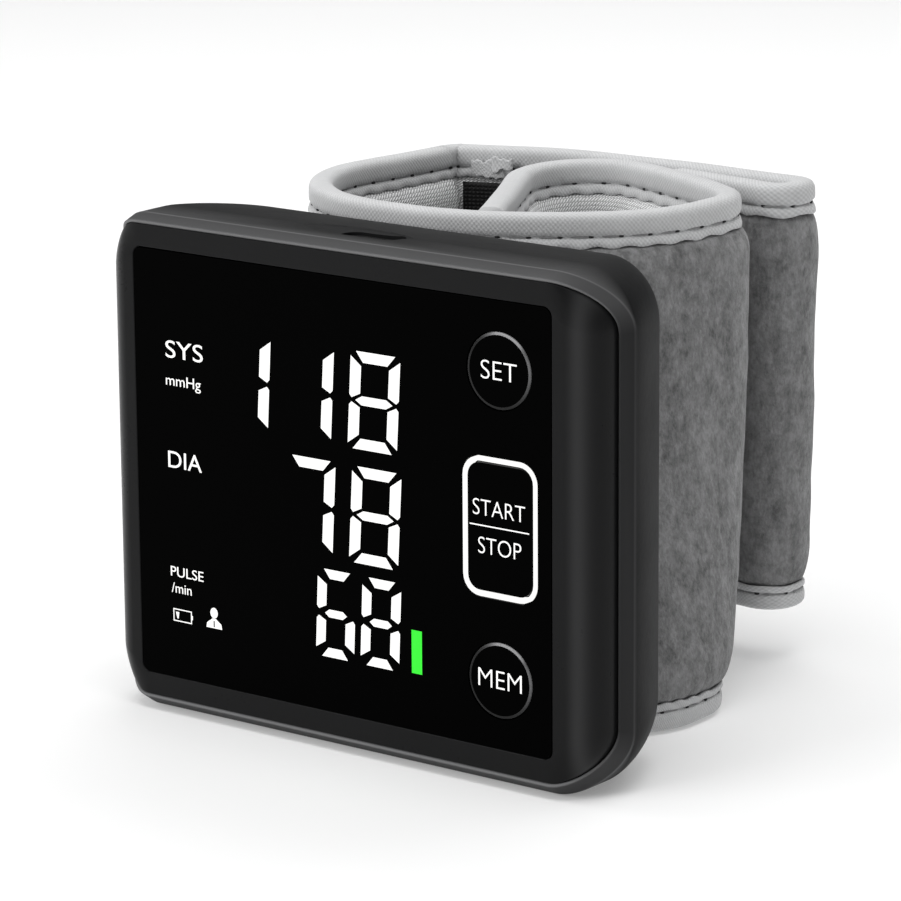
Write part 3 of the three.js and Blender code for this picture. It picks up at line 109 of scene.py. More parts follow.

# Lip of the shell, the painted highlights on its edges and its seam to the cover
LIP_LAND = 0.5
LIP_ROUND = 0.16
LIP_CHAMFER_DEPTH = 2.2
LIP_CHAMFER_START = 0.06
LIP_CORNER = (0.9, 0.24)  # where its rounding starts, as a share, and how far behind it ends
RIM_WIDTH = 0.25
RIM_RAMP = 4
RIM_LEAST = 0.4
RIM_INSET = 0.3
RIM_AT_LAND = 1.0
RIM_AT_CORNER = 0.6
SEAM_FLOOR = 1.2
SEAM_MOUTH = 0.5
SEAM_AT_ENDS = 0.02  # the lip closes on the cover above and below
SEAM_AT_SIDES = 0.15
SEAM_OPENING = 0.35  # how soon it opens from the ends to the sides

# Rear shell, its scoop and its port
SHELL_MARGIN = 1.15
SHELL_MARGINS = (SHELL_MARGIN, SHELL_MARGIN, 2.0, SHELL_MARGIN)  # side, top, bottom, corner
SHELL_WALL = 1.8
CASE_STRAIGHT = 8.0
CASE_BACK = 21.5
CASE_TOP = COVER_HALF_HEIGHT + SHELL_MARGIN
BACK_ROUND_SIDE = 6.3
BACK_ROUND_END = 1.9
BACK_ROUND_POWER = 1.5
SCOOP_X = -2.4
SCOOP_BACK = 7.8
SCOOP_HALF_LENGTH = 9.0
SCOOP_HALF_WIDTH = 2.9
SCOOP_DEPTH = 0.4
SCOOP_POINTEDNESS = 1.7
SCOOP_STEEPNESS = 5
SCOOP_OVERRUN = 1.12
PORT_X = 0.6
PORT_BACK = 7.1
PORT_HALF_WIDTH = 4.8
PORT_HALF_HEIGHT = 1.9
PORT_REACH = 7.4

# Screws and openings of the case
CASE_SCREWS = ((31.0, 11.74), (-30.0, 25.2), (-30.0, -25.2), (31.0, -12.04))
# Round bosses and bores: radius, front, back
COVER_BOSS = (2.2, COVER_FLOOR_BACK - 0.3, 12)
COVER_BORE = (1.2, COVER_FLOOR_BACK + 0.3, 13)
SHELL_BOSS = (3.1, 12.3, CASE_BACK - SHELL_WALL + 0.3)
SHELL_WELL = (2.1, CASE_BACK - 4.8, CASE_BACK + CUT_OVERRUN)
SHELL_BORE = (1.2, 11, CASE_BACK - 4)
MOUNT_X = -8.5
MOUNT_HOLES = ((18.0, 1.2), (0, 1.9), (-18.0, 1.2))  # height, radius
# Openings: middle, half width, half height, corner
DISPLAY_OPENING = (-7.1, -1.0, 22.8, 22.1, 0.4)
OPENING_FRONT = 0.5

# Keys
KEY_COLUMN_X = 25.5
ROUND_KEY_Z = 19.68
ROUND_KEY_RADIUS = 4.8
KEY_GAP = 0.22
KEY_RIM_INSIDE = 0.3
KEY_RIM_OUTSIDE = 0.08
KEY_RIM_RISE = 0.16
# Painted highlight arcs on the key rims, brightest near the top
KEY_RIM_HIGHLIGHTS = ((1, 0.3, 0.5), (0.22, 1.3, 0.75))  # strength, angle from the top, spread
MAIN_KEY_Z = -0.3
MAIN_KEY_HOLE = (KEY_COLUMN_X, MAIN_KEY_Z, 5.125, 8.35, 2.05)
RING_SEAT = (KEY_COLUMN_X, MAIN_KEY_Z, 5.795, 9.02, 2.72)
KEY_LETTER_WEIGHT = -0.013

# Cuff: edges, cloths and paddings
CUFF_TOP = 32.4
CUFF_BOTTOM = -33.55
BINDING_HEIGHT = 4.4
BINDING_HALF = 1.75
TAPE = 0.55
SKIN = 0.75
TUCK = 0.85  # the felt starts this far inside the folded edge
EDGE_HALF = 0.95
PAD_HALF = 2.9
FLAP_HALF = 2.1
SHOULDER_TOP = 3.5
SHOULDER_BOTTOM = 5.5
HOLLOW_LENGTH = 17.0
DIMPLE_LENGTH = 6.0
PUCKER_REACH = 1.6

# Edge tapes and their stitches
SEAM_GROOVE = 0.5
SEAM_PULL = 0.07
FREE_HEM = 1.05
FLUTE_OUT = 0.1
FLUTE_DOWN = 0.13
TAPE_STRAY = 0.08
TAPE_SAG = 0.12
HEM_STRAY = 0.1
STITCH_DROP = 3.05
STITCH_OUT = 1.3
STITCH_FILL = 0.8  # share of the pitch that the thread covers
# The lower tape is folded narrower than the upper one
FOOT_SHARE = 0.8
FOOT_LIFT = BINDING_HEIGHT * (1 - FOOT_SHARE)
# Rows of the cloths under the two tapes, as distances from the folded edge
FOOT_ROWS = (TUCK, 1.8, 2.7, 3.25)
HEAD_ROWS = (4.1, 3.4, 2.2, TUCK)
END_TAPE_REACH = 3.6
# Loose ends of tape: share of the flap's length, distances out, drops from the top, seed
TAILS = (("tape_tail", (0.905, 0.97), (-2.7, -2.25), (1.9, 4.2), 41),
         ("tape_tail_turn", (0.89, 0.93), (-3.2, -2.85), (1.3, 3.1), 44))

# What lies inside the cuff, and the hook strip
PADDING_HALF = 0.85
BLADDER_INSET = 1.5
BLADDER_SHARES = (0.06, 0.5)
BLADDER_FACES = (-1.7, 0.6)  # its two sides, out of the strap's middle
HOOK_SHARES = (0.56, 0.985)
HOOK_THICKNESS = 0.85
HOOK_FOOT = 8

# Plan of the cuff: corners of [x, distance behind the case, radius of the bend]
FLAP_RISE = 6.9
FLAP_RISE_START = 0.25
TAPER_START = 2.2
TAPER_LENGTH = 6
STATION_SPACING = 0.8
FINE_SPACING = 0.5
CREASE_PULL = 1.9
SLEEVE_START = [-32.7, 43.5]
SLEEVE_UPPER = [
    SLEEVE_START, [-34.8, 3.3, 22], [17.1, 3.3, 30], [23.2, 33.9, 4.2],
    [-21.9, 52.8, 9], [0.4, 10.3],
]
SLEEVE_LOWER = [
    SLEEVE_START, [-35.5, 3.3, 22], [29.4, 3.3, 11.5], [28.4, 21.5, 6.5],
    [-21.9, 52.8, 9], [0.4, 10.3],
]
# The upper edge stands up where it turns inwards: [share of the length, rise]
SLEEVE_RISE = [(0.03, 0), (0.14, 0.45), (0.46, 0.6), (0.53, 0.3), (0.585, 0.6), (0.63, 1.3),
               (0.69, 1.4), (0.75, 1.1), (0.81, 0.8), (0.88, 0.3), (0.95, 0)]
FLAP_UPPER = [[4, 47.9], [22.8, 45.4, 2.9], [22.8, 52.1, 2.9], [-14.6, 52.1, 40], [-31.6, 46]]
FLAP_LOWER = [[4, 47.3], [22, 44.8, 2.9], [22, 51.5, 2.9], [-14.6, 51.5, 40], [-31.6, 46]]

# Photograph's camera, from its fitted place and angles
CAMERA_FROM_PANEL = (344.81, -426.13, 140.88)
CAMERA_AZIMUTH = 37.4835
CAMERA_ELEVATION = 13.8304
CAMERA_ROLL = -0.4206
CAMERA_FOCAL_PIXELS = 4483.5
IMAGE_PIXELS = 901

# Stage, in metres
FLOOR_LEVEL = -0.0002
LIGHT_AIM = Vector((0, 0, 0.03))


def at_panel(x, y, z):
    """A point given in millimetres from the panel's middle, in the frame's metres."""
    return DATUM + Vector((x, y, z)) * MM


# Settings


class CaseLooks(bpy.types.PropertyGroup):
    """Colours and grain of the moulded case."""

    cover_colour: FloatVectorProperty(
        name="Cover colour", description="Front cover's plastic", subtype="COLOR", size=3,
        default=(0.0075, 0.0076, 0.0079), min=0, max=1)
    shell_colour: FloatVectorProperty(
        name="Shell colour", description="Rear shell's plastic", subtype="COLOR", size=3,
        default=(0.0115, 0.0117, 0.0121), min=0, max=1)
    grain: FloatProperty(
        name="Grain", description="Size of the moulded grain", subtype="DISTANCE",
        unit="LENGTH", default=0.0004, min=0.0001, max=0.002)
    # Painted highlight: how much lighter the lip's edges are painted, and at a quarter of it the
    # cover's sheen band
    painted_highlight: FloatProperty(
        name="Edge polish", description="How light the lip's rubbed edges are", default=0.42,
        min=0, max=1)
    edge: FloatProperty(
        name="Edge rounding", description="Rounding of the moulded edges",
        subtype="DISTANCE", unit="LENGTH", default=0.00015, min=0.00005, max=0.001)


class DisplayLooks(bpy.types.PropertyGroup):
    """Light and colours of the display and the printed marks."""

    lit_colour: FloatVectorProperty(
        name="Lit colour", description="Colour of lit segments", subtype="COLOR", size=3,
        default=(1.0, 1.0, 0.98), min=0, max=1)
    bar_colour: FloatVectorProperty(
        name="Bar colour", description="Colour of the level bar", subtype="COLOR", size=3,
        default=(0.0, 0.8, 0.0), min=0, max=1)
    glow: FloatProperty(
        name="Glow", description="Brightness of lit segments", default=1.15, min=0, max=10)
    segment_width: FloatProperty(
        name="Segment width", description="Width of one upright segment",
        subtype="DISTANCE", unit="LENGTH", default=0.0017, min=0.0005, max=0.003)


class CuffLooks(bpy.types.PropertyGroup):
    """Fabrics and seams of the cuff."""

    felt_colour: FloatVectorProperty(
        name="Felt colour", description="Brushed outer face", subtype="COLOR", size=3,
        default=(0.208, 0.209, 0.211), min=0, max=1)
    lining_colour: FloatVectorProperty(
        name="Lining colour", description="Knitted inner face", subtype="COLOR", size=3,
        default=(0.88, 0.885, 0.89), min=0, max=1)
    tape_colour: FloatVectorProperty(
        name="Tape colour", description="Woven edge tape", subtype="COLOR", size=3,
        default=(0.57, 0.574, 0.58), min=0, max=1)
    stitch_pitch: FloatProperty(
        name="Stitch pitch", description="Distance from stitch to stitch",
        subtype="DISTANCE", unit="LENGTH", default=0.004, min=0.001, max=0.01)
    thread: FloatProperty(
        name="Thread", description="Thickness of the sewing thread",
        subtype="DISTANCE", unit="LENGTH", default=0.00028, min=0.0001, max=0.001)
    unevenness: FloatProperty(
        name="Unevenness", description="How far the cloth strays from its plain form",
        subtype="DISTANCE", unit="LENGTH", default=0.00022, min=0, max=0.001)


class StageLooks(bpy.types.PropertyGroup):
    """Floor and lights."""

    floor_colour: FloatVectorProperty(
        name="Floor colour", description="Plain pale floor", subtype="COLOR", size=3,
        default=(0.78, 0.78, 0.78), min=0, max=1)
    floor_glow: FloatProperty(
        name="Floor glow", description="Light the floor gives off itself", default=0.28, min=0,
        max=2)
    sky: FloatProperty(
        name="Sky", description="Strength of the even light overhead", default=0.5, min=0, max=5)
    horizon: FloatProperty(
        name="Horizon", description="Strength of the even light near the horizon", default=0.2,
        min=0, max=5)
    key: FloatProperty(
        name="Key light", description="Power of the large soft light", unit="POWER",
        default=4.0, min=0, max=100)
    floor_half: IntProperty(
        name="Floor size", description="Half the floor's width in metres",
        default=6, min=1, max=50)


# Materials


class Nodes:
    """One material's node tree, with short calls that add and link its nodes."""

    def __init__(self, name):
        self.material = bpy.data.materials.new(name)
        self.material.use_nodes = True
        self.tree = self.material.node_tree
        self.shader = self.tree.nodes["Principled BSDF"]
        self.made = 0

    def add(self, kind, values=None, **settings):
        node = self.tree.nodes.new(f"ShaderNode{kind}")
        node.location = (-220 * (self.made % 6) - 300, -180 * (self.made // 6))
        self.made += 1
        for key, value in settings.items():
            setattr(node, key, value)
        for key, value in (values or {}).items():
            self.join(value, node.inputs[key])
        return node

    def join(self, value, socket):
        if isinstance(value, bpy.types.NodeSocket):
            self.tree.links.new(value, socket)
        else:
            socket.default_value = value

    def math(self, operation, *values):
        node = self.add("Math", operation=operation)
        for i, value in enumerate(values):
            self.join(value, node.inputs[i])
        return node.outputs[0]

    def mix(self, share, low, high):
        node = self.add("Mix", data_type="RGBA")
        self.join(share, node.inputs[0])
        self.join(low, node.inputs[6])
        self.join(high, node.inputs[7])
        return node.outputs[2]

    def spread(self, value, low, high, to_low=0.0, to_high=1.0):
        node = self.add("MapRange", {"Value": value, "From Min": low, "From Max": high,
                                     "To Min": to_low, "To Max": to_high})
        return node.outputs[0]

    def place(self, stretch=(1, 1, 1)):
        """Object coordinates, stretched along the axes."""
        node = self.add("Mapping", {"Vector": self.add("TexCoord").outputs["Object"],
                                    "Scale": stretch})
        return node.outputs[0]

    def cloth(self):
        """Distances along and across the cloth, in metres, from its own UV map."""
        parts = self.add("SeparateXYZ", {0: self.add("UVMap", uv_map="cloth").outputs[0]})
        return parts.outputs[0], parts.outputs[1]

    def noise(self, vector, scale, detail=3.0, rough=0.55):
        node = self.add("TexNoise", {"Vector": vector, "Scale": scale, "Detail": detail,
                                     "Roughness": rough})
        return node.outputs["Fac"]

    def wave(self, along, length, shift=0.0):
        """A sine between 0 and 1 of a given wavelength."""
        turns = self.math("MULTIPLY_ADD", along, math.tau / length, shift)
        return self.math("MULTIPLY_ADD", self.math("SINE", turns), 0.5, 0.5)

    def bump(self, height, depth, under=None):
        node = self.add("Bump", {"Height": height, "Distance": depth, "Strength": 1.0})
        if under is not None:
            self.join(under, node.inputs["Normal"])
        return node.outputs[0]

    def dress(self, **sockets):
        for key, value in sockets.items():
            self.join(value, self.shader.inputs[key.replace("_", " ")])
        return self.material


def rgba(colour, share=1.0):
    """The colour made lighter or darker by a share, with full cover."""
    return (*[c * share for c in colour], 1.0)


def moulded_plastic(name, colour, grain, roughness, gloss, painted_highlight=0.0):
    """Dark plastic with a fine spark-eroded grain, and a painted highlight: its colour made
    lighter where the mesh has its rim attribute."""
    nodes = Nodes(name)
    vector = nodes.place()
    fine = nodes.noise(vector, 0.5 / grain, 2.0)
    broad = nodes.noise(vector, 90.0, 3.0)
    tint = nodes.mix(broad, rgba(colour, 0.9), rgba(colour, 1.12))
    sheen = nodes.spread(nodes.math("ADD", broad, nodes.math("MULTIPLY", fine, 0.4)), 0.4, 1.1,
                         roughness - 0.05, roughness + 0.07)
    # Painted highlight: the rim attribute mixes the colour towards a pale grey
    rim = nodes.add("Attribute", attribute_name="rim").outputs["Fac"]
    tint = nodes.mix(nodes.math("MULTIPLY", rim, painted_highlight), tint, (0.3, 0.3, 0.305, 1))
    return nodes.dress(Base_Color=tint, Roughness=sheen, Specular_IOR_Level=gloss,
                       Normal=nodes.bump(fine, grain * 0.05))


def panel_gloss(name):
    """Smoked acrylic: near black and smooth, with the faintest haze."""
    nodes = Nodes(name)
    haze = nodes.noise(nodes.place(), 60.0, 4.0)
    tint = nodes.mix(haze, (0.0001, 0.0001, 0.0001, 1), (0.0003, 0.0003, 0.0003, 1))
    return nodes.dress(Base_Color=tint, Roughness=nodes.spread(haze, 0.3, 0.7, 0.1, 0.16),
                       Specular_IOR_Level=0.012)


# Lit segments glow from light behind a diffuser; the printed key lettering and the pale start/stop
# ring use it too, as a painted glow
def lit(name, colour, glow):
    """Light behind a diffuser, a little dimmer towards one side of each mark."""
    nodes = Nodes(name)
    cast = nodes.spread(nodes.noise(nodes.place(), 300.0, 1.0), 0.2, 0.8, 0.94, 1.0)
    tint = nodes.mix(cast, rgba(colour, 0.85), rgba(colour))
    return nodes.dress(Base_Color=(0.02, 0.02, 0.02, 1), Emission_Color=tint,
                       Emission_Strength=glow, Roughness=0.5)


def brushed_felt(name, colour):
    """Brushed loop pile: blotchy and matt, with tufts, pits and short fibres."""
    nodes = Nodes(name)
    fibre = nodes.noise(nodes.place((1.0, 1.0, 0.6)), 2300.0, 4.0, 0.7)
    tuft = nodes.noise(nodes.place((1.0, 1.0, 0.75)), 720.0, 3.0, 0.65)
    blotch = nodes.noise(nodes.place((1.0, 1.0, 0.55)), 330.0, 3.0, 0.6)
    level = nodes.math("ADD", nodes.math("MULTIPLY", fibre, 0.3),
                       nodes.math("MULTIPLY", tuft, 0.4))
    level = nodes.math("ADD", level, nodes.math("MULTIPLY", blotch, 0.3))
    share = nodes.spread(level, 0.36, 0.64)
    tint = nodes.mix(share, rgba(colour, 0.48), rgba(colour, 1.5))
    height = nodes.math("ADD", nodes.math("MULTIPLY", fibre, 0.6), tuft)
    return nodes.dress(Base_Color=tint, Roughness=0.95, Specular_IOR_Level=0.1,
                       Sheen_Weight=0.2, Sheen_Roughness=0.5,
                       Normal=nodes.bump(height, 0.0003))


def knitted_lining(name, colour):
    """Knitted mesh: short slanting loops in staggered rows, with dark gaps between them."""
    nodes = Nodes(name)
    along, across = nodes.cloth()
    row_height, loop_length = 0.00052, 0.00058
    row = nodes.math("MULTIPLY", across, 1 / row_height)
    course = nodes.math("FRACT", row)
    stagger = nodes.math("MULTIPLY", nodes.math("FLOOR", row), 0.35)
    slant = nodes.math("ADD", stagger, nodes.math("MULTIPLY", course, 0.95))
    turns = nodes.math("MULTIPLY_ADD", along, 1 / loop_length, slant)
    dash = nodes.math("SINE", nodes.math("MULTIPLY", turns, math.tau))
    dash = nodes.math("MULTIPLY_ADD", dash, 0.5, 0.5)
    swell = nodes.math("SINE", nodes.math("MULTIPLY", course, math.pi))
    swell = nodes.math("MULTIPLY_ADD", nodes.math("POWER", swell, 0.7), 0.55, 0.45)
    loop = nodes.math("MULTIPLY", swell, nodes.math("MULTIPLY_ADD", dash, 0.8, 0.2))
    fuzz = nodes.noise(nodes.place(), 2500.0, 2.0)
    share = nodes.spread(nodes.math("MULTIPLY_ADD", fuzz, 0.3, loop), 0.2, 0.95)
    tint = nodes.mix(share, rgba(colour, 0.34), rgba(colour, 1.15))
    return nodes.dress(Base_Color=tint, Roughness=0.85, Specular_IOR_Level=0.2,
                       Sheen_Weight=0.1, Normal=nodes.bump(loop, 0.00018))


def woven_tape(name, colour):
    """Fine twill tape, with its diagonal ribs and a slightly fluffy surface."""
    nodes = Nodes(name)
    along, across = nodes.cloth()
    slant = nodes.math("MULTIPLY_ADD", across, 0.85, along)
    twill = nodes.wave(slant, 0.00056)
    pick = nodes.wave(nodes.math("MULTIPLY_ADD", across, -0.9, along), 0.00062)
    weave = nodes.math("ADD", nodes.math("MULTIPLY", twill, 0.6),
                       nodes.math("MULTIPLY", pick, 0.4))
    fuzz = nodes.noise(nodes.place(), 1500.0, 3.0)
    cloud = nodes.noise(nodes.place(), 160.0, 2.0)
    share = nodes.spread(nodes.math("MULTIPLY_ADD", fuzz, 0.6, weave), 0.35, 1.25)
    share = nodes.math("ADD", share, nodes.spread(cloud, 0.3, 0.7, -0.12, 0.12))
    tint = nodes.mix(share, rgba(colour, 0.84), rgba(colour, 1.08))
    return nodes.dress(Base_Color=tint, Roughness=0.8, Specular_IOR_Level=0.2,
                       Sheen_Weight=0.1, Normal=nodes.bump(weave, 0.00005))


def hook_fabric(name):
    """Black hook strip: rows of stiff little hooks."""
    nodes = Nodes(name)
    along, across = nodes.cloth()
    hooks = nodes.math("MULTIPLY", nodes.wave(along, 0.0006), nodes.wave(across, 0.0005))
    tint = nodes.mix(hooks, (0.003, 0.003, 0.003, 1), (0.016, 0.016, 0.017, 1))
    return nodes.dress(Base_Color=tint, Roughness=0.6, Specular_IOR_Level=0.3,
                       Normal=nodes.bump(hooks, 0.0004))


def sewing_thread(name, colour):
    """Twisted polyester thread."""
    nodes = Nodes(name)
    twist = nodes.noise(nodes.place((1, 1, 2)), 3000.0, 2.0)
    tint = nodes.mix(twist, rgba(colour, 0.7), rgba(colour, 1.1))
    return nodes.dress(Base_Color=tint, Roughness=0.6, Normal=nodes.bump(twist, 0.0001))


def plain_finish(name, colour, roughness, metallic=0.0, scale=700.0, depth=0.00003, gloss=0.5):
    """A finish for small pieces inside the case: a cast or drawn grain in colour and sheen."""
    nodes = Nodes(name)
    grain = nodes.noise(nodes.place(), scale, 3.0)
    tint = nodes.mix(grain, rgba(colour, 0.85), rgba(colour, 1.12))
    return nodes.dress(Base_Color=tint, Roughness=nodes.spread(grain, 0.3, 0.7, roughness - 0.06,
                                                               roughness + 0.06),
                       Metallic=metallic, Specular_IOR_Level=gloss,
                       Normal=nodes.bump(grain, depth))


def circuit_board(name):
    """Green solder mask with copper tracks showing through."""
    nodes = Nodes(name)
    vector = nodes.place()
    tracks = nodes.add("TexBrick", {"Vector": vector, "Scale": 420.0, "Mortar Size": 0.05,
                                    "Color1": (0, 0, 0, 1), "Color2": (0, 0, 0, 1),
                                    "Mortar": (1, 1, 1, 1)}).outputs["Color"]
    tint = nodes.mix(tracks, (0.012, 0.07, 0.035, 1), (0.03, 0.15, 0.07, 1))
    return nodes.dress(Base_Color=tint, Roughness=0.4,
                       Normal=nodes.bump(nodes.noise(vector, 500.0), 0.00003))


FINISHES = {}


def finish(name):
    """The named finish, made once from the current settings."""
    if name not in FINISHES:
        scene = bpy.context.scene
        case, display, cuff = scene.monitor_case, scene.monitor_display, scene.monitor_cuff
        makers = {
            "cover_plastic": lambda n: moulded_plastic(n, case.cover_colour, case.grain, 0.3, 0.09,
                                                      case.painted_highlight * 0.25),
            "shell_plastic": lambda n: moulded_plastic(n, case.shell_colour, case.grain, 0.5, 0.04,
                                                      case.painted_highlight),
            "panel_gloss": panel_gloss,
            # Painted glow: the pale trim ring round the start/stop key emits though it is no lamp
            "ring_white": lambda n: lit(n, display.lit_colour, display.glow * 0.9),
            "lit_and_painted_glow": lambda n: lit(n, display.lit_colour, display.glow),
            "lit_bar": lambda n: lit(n, display.bar_colour, display.glow),
            "felt_grey": lambda n: brushed_felt(n, cuff.felt_colour),
            "mesh_grey": lambda n: knitted_lining(n, cuff.lining_colour),
            "tape_grey": lambda n: woven_tape(n, cuff.tape_colour),
            "thread_grey": lambda n: sewing_thread(n, [c * 0.55 for c in cuff.tape_colour]),
            # Painted shade: dark beads stand in for the shade inside the needle holes
            "needle_hole_shade": lambda n: plain_finish(n, (0.035, 0.035, 0.036), 0.9, gloss=0.1),
            "hook_black": hook_fabric,
            # Key rims: dark plastic with strong painted highlight arcs
            "key_rim": lambda n: moulded_plastic(n, (0.003, 0.003, 0.003), case.grain, 0.3, 0.2,
                                                 1.9),
            "board_green": circuit_board,
            "steel": lambda n: plain_finish(n, (0.55, 0.56, 0.57), 0.32, 1.0),
            "port_metal": lambda n: plain_finish(n, (0.004, 0.004, 0.004), 0.6, gloss=0.1),
            "part_black": lambda n: plain_finish(n, (0.012, 0.012, 0.012), 0.5),
            "light_bar": lambda n: plain_finish(n, (0.8, 0.8, 0.76), 0.5),
            "cell_foil": lambda n: plain_finish(n, (0.42, 0.45, 0.48), 0.35, 0.6, 250.0, 0.0001),
            "tube_rubber": lambda n: plain_finish(n, (0.3, 0.3, 0.29), 0.7),
            "natural_plastic": lambda n: plain_finish(n, (0.7, 0.68, 0.63), 0.45),
            "foam_grey": lambda n: plain_finish(n, (0.25, 0.25, 0.26), 0.95, 0, 1500.0, 0.0004),
        }
        FINISHES[name] = makers[name](name)
    return FINISHES[name]


# Mesh making


def add_object(name, mesh, material, body, replaces=()):
    """Puts a finished mesh in the scene, on its body."""
    piece = bpy.data.objects.new(name, mesh)
    bpy.context.scene.collection.objects.link(piece)
    mesh.materials.clear()
    mesh.materials.append(finish(material))
    if body:
        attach(piece, body)
    if replaces:
        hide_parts(*replaces)
    return piece


def signed_volume(points, quads):
    """What the faces enclose, below zero where they point inwards."""
    a, b, c, d = (points[quads[:, i]] for i in range(4))
    volume = np.einsum("ij,ij->i", a, np.cross(b, c)) + np.einsum("ij,ij->i", a, np.cross(c, d))
    return volume.sum() / 6


def swept_mesh(name, rings, along, across):
    """A closed mesh through rings of equal count. along is each ring's distance down the
    cloth, across each ring point's distance round it, both in metres, for the weave."""
    count, size = rings.shape[:2]
    points = rings.reshape(-1, 3)
    i, j = np.meshgrid(np.arange(count - 1), np.arange(size), indexing="ij")
    i, j = i.ravel(), j.ravel()
    k = (j + 1) % size
    quads = np.stack([i * size + j, i * size + k, (i + 1) * size + k, (i + 1) * size + j], 1)
    round_it = np.append(across, 2 * across[-1] - across[-2])
    u = np.stack([along[i], along[i], along[i + 1], along[i + 1]], 1)
    v = np.stack([round_it[j], round_it[j + 1], round_it[j + 1], round_it[j]], 1)
    half = size // 2
    cap = np.stack([np.arange(half - 1), np.arange(1, half), size - 1 - np.arange(1, half),
                    size - 1 - np.arange(half - 1)], 1)
    last = (count - 1) * size
    caps = np.concatenate([cap[:, ::-1], last + cap])
    cap_uv = np.zeros((len(caps), 4))
    quads = np.concatenate([quads, caps])
    u, v = np.concatenate([u, cap_uv]), np.concatenate([v, cap_uv])
    if signed_volume(points, quads) < 0:
        quads, u, v = quads[:, ::-1], u[:, ::-1], v[:, ::-1]
    mesh = bpy.data.meshes.new(name)
    mesh.from_pydata(points.tolist(), [], quads.tolist())
    layer = mesh.uv_layers.new(name="cloth")
    layer.data.foreach_set("uv", np.stack([u, v], 2).astype(np.float32).ravel())
    mesh.polygons.foreach_set("use_smooth", np.ones(len(quads), bool))
    mesh.update()
    return mesh


def prism_mesh(name, outlines, front, back):
    """Flat plates with the given outlines [x, z] in millimetres, from one depth to another."""
    shape = bmesh.new()
    for outline in outlines:
        rings = [[shape.verts.new(at_panel(x, depth, z)) for x, z in outline]
                 for depth in (front, back)]
        shape.faces.new(rings[0])
        shape.faces.new(rings[1][::-1])
        for i in range(len(outline)):
            j = (i + 1) % len(outline)
            shape.faces.new([rings[0][j], rings[0][i], rings[1][i], rings[1][j]])
    bmesh.ops.recalc_face_normals(shape, faces=shape.faces)
    mesh = bpy.data.meshes.new(name)
    shape.to_mesh(mesh)
    shape.free()
    return mesh


def turned_mesh(name, x, z, profile, steps=72):
    """A closed ring turned about an axis along Y; profile is [radius, depth]."""
    shape = bmesh.new()
    rings = []
    for step in range(steps):
        angle = step / steps * math.tau
        across, up = math.cos(angle), math.sin(angle)
        rings.append([shape.verts.new(at_panel(x + r * across, y, z + r * up))
                      for r, y in profile])
    for step in range(steps):
        one, two = rings[step], rings[(step + 1) % steps]
        for i in range(len(profile)):
            j = (i + 1) % len(profile)
            shape.faces.new([one[i], one[j], two[j], two[i]])
    bmesh.ops.recalc_face_normals(shape, faces=shape.faces)
    mesh = bpy.data.meshes.new(name)
    shape.to_mesh(mesh)
    shape.free()
    mesh.polygons.foreach_set("use_smooth", [True] * len(mesh.polygons))
    mesh.set_sharp_from_angle(angle=math.radians(40))
    return mesh


def rounded(half_width, top, bottom, corner, steps=28):
    """[x, z] round a rectangle with round corners, from the right end of its upper right one."""
    found = []
    for quarter, (x, z) in enumerate(((1, top), (-1, top), (-1, bottom), (1, bottom))):
        angle = np.linspace(quarter, quarter + 1, steps + 1) * math.pi / 2
        middle = z - corner if z == top else z + corner
        found.append(np.stack([x * (half_width - corner) + corner * np.cos(angle),
                               middle + corner * np.sin(angle)], 1))
    return np.concatenate(found)


def ring_at(outline, depth):
    """An outline of [x, z] at one depth, or at a depth for each point."""
    return np.stack([outline[:, 0], np.broadcast_to(depth, len(outline)), outline[:, 1]], 1)


def ring_solid(name, rings):
    """A closed mesh through rings of [x, depth, z] in millimetres, flat at both ends."""
    size = len(rings[0])
    points = np.concatenate(rings) * MM + np.array(DATUM)
    faces = [list(range(size)), list(range(len(points) - size, len(points)))[::-1]]
    for i in range(len(rings) - 1):
        low = i * size
        for j in range(size):
            k = (j + 1) % size
            faces.append([low + k, low + j, low + size + j, low + size + k])
    mesh = bpy.data.meshes.new(name)
    mesh.from_pydata(points.tolist(), [], faces)
    shape = bmesh.new()
    shape.from_mesh(mesh)
    bmesh.ops.recalc_face_normals(shape, faces=shape.faces)
    shape.to_mesh(mesh)
    shape.free()
    return mesh


def round_plate(name, x, z, half_width, half_height, corner, front, back):
    """A plate with round corners, from one depth to another."""
    outline = rounded(half_width, half_height, -half_height, corner, 24) + [x, z]
    return ring_solid(name, [ring_at(outline, front), ring_at(outline, back)])


def oblong(left, right, low, high):
    """The four corners of an upright rectangle."""
    return [[left, low], [right, low], [right, high], [left, high]]


def settled(carrier, *tools):
    """The carrier's shape with its modifiers, as a plain mesh. The objects are removed."""
    bpy.context.view_layer.update()
    depsgraph = bpy.context.evaluated_depsgraph_get()
    mesh = bpy.data.meshes.new_from_object(carrier.evaluated_get(depsgraph), depsgraph=depsgraph)
    carrier.modifiers.clear()
    for used in (carrier, *tools):
        bpy.data.objects.remove(used)
    return mesh


def shaped(mesh, steps):
    """The mesh after a chain of cuts and joins with other closed meshes."""
    link = bpy.context.scene.collection.objects.link
    body = bpy.data.objects.new(mesh.name, mesh)
    link(body)
    tools = []
    for operation, tool in steps:
        other = bpy.data.objects.new(tool.name, tool)
        link(other)
        tools.append(other)
        change = body.modifiers.new(tool.name, "BOOLEAN")
        change.operation = operation
        change.solver = "MANIFOLD"
        change.object = other
    return settled(body, *tools)


def add_moulding(name, mesh, material, replaces):
    """A moulded piece: smooth rounds, crisp steps, and shading led by its large faces."""
    mesh.polygons.foreach_set("use_smooth", np.ones(len(mesh.polygons), bool))
    mesh.set_sharp_from_angle(angle=math.radians(30))
    piece = add_object(name, mesh, material, MONITOR, (replaces,))
    even = piece.modifiers.new("even_shading", "WEIGHTED_NORMAL")
    even.keep_sharp = True
    return piece


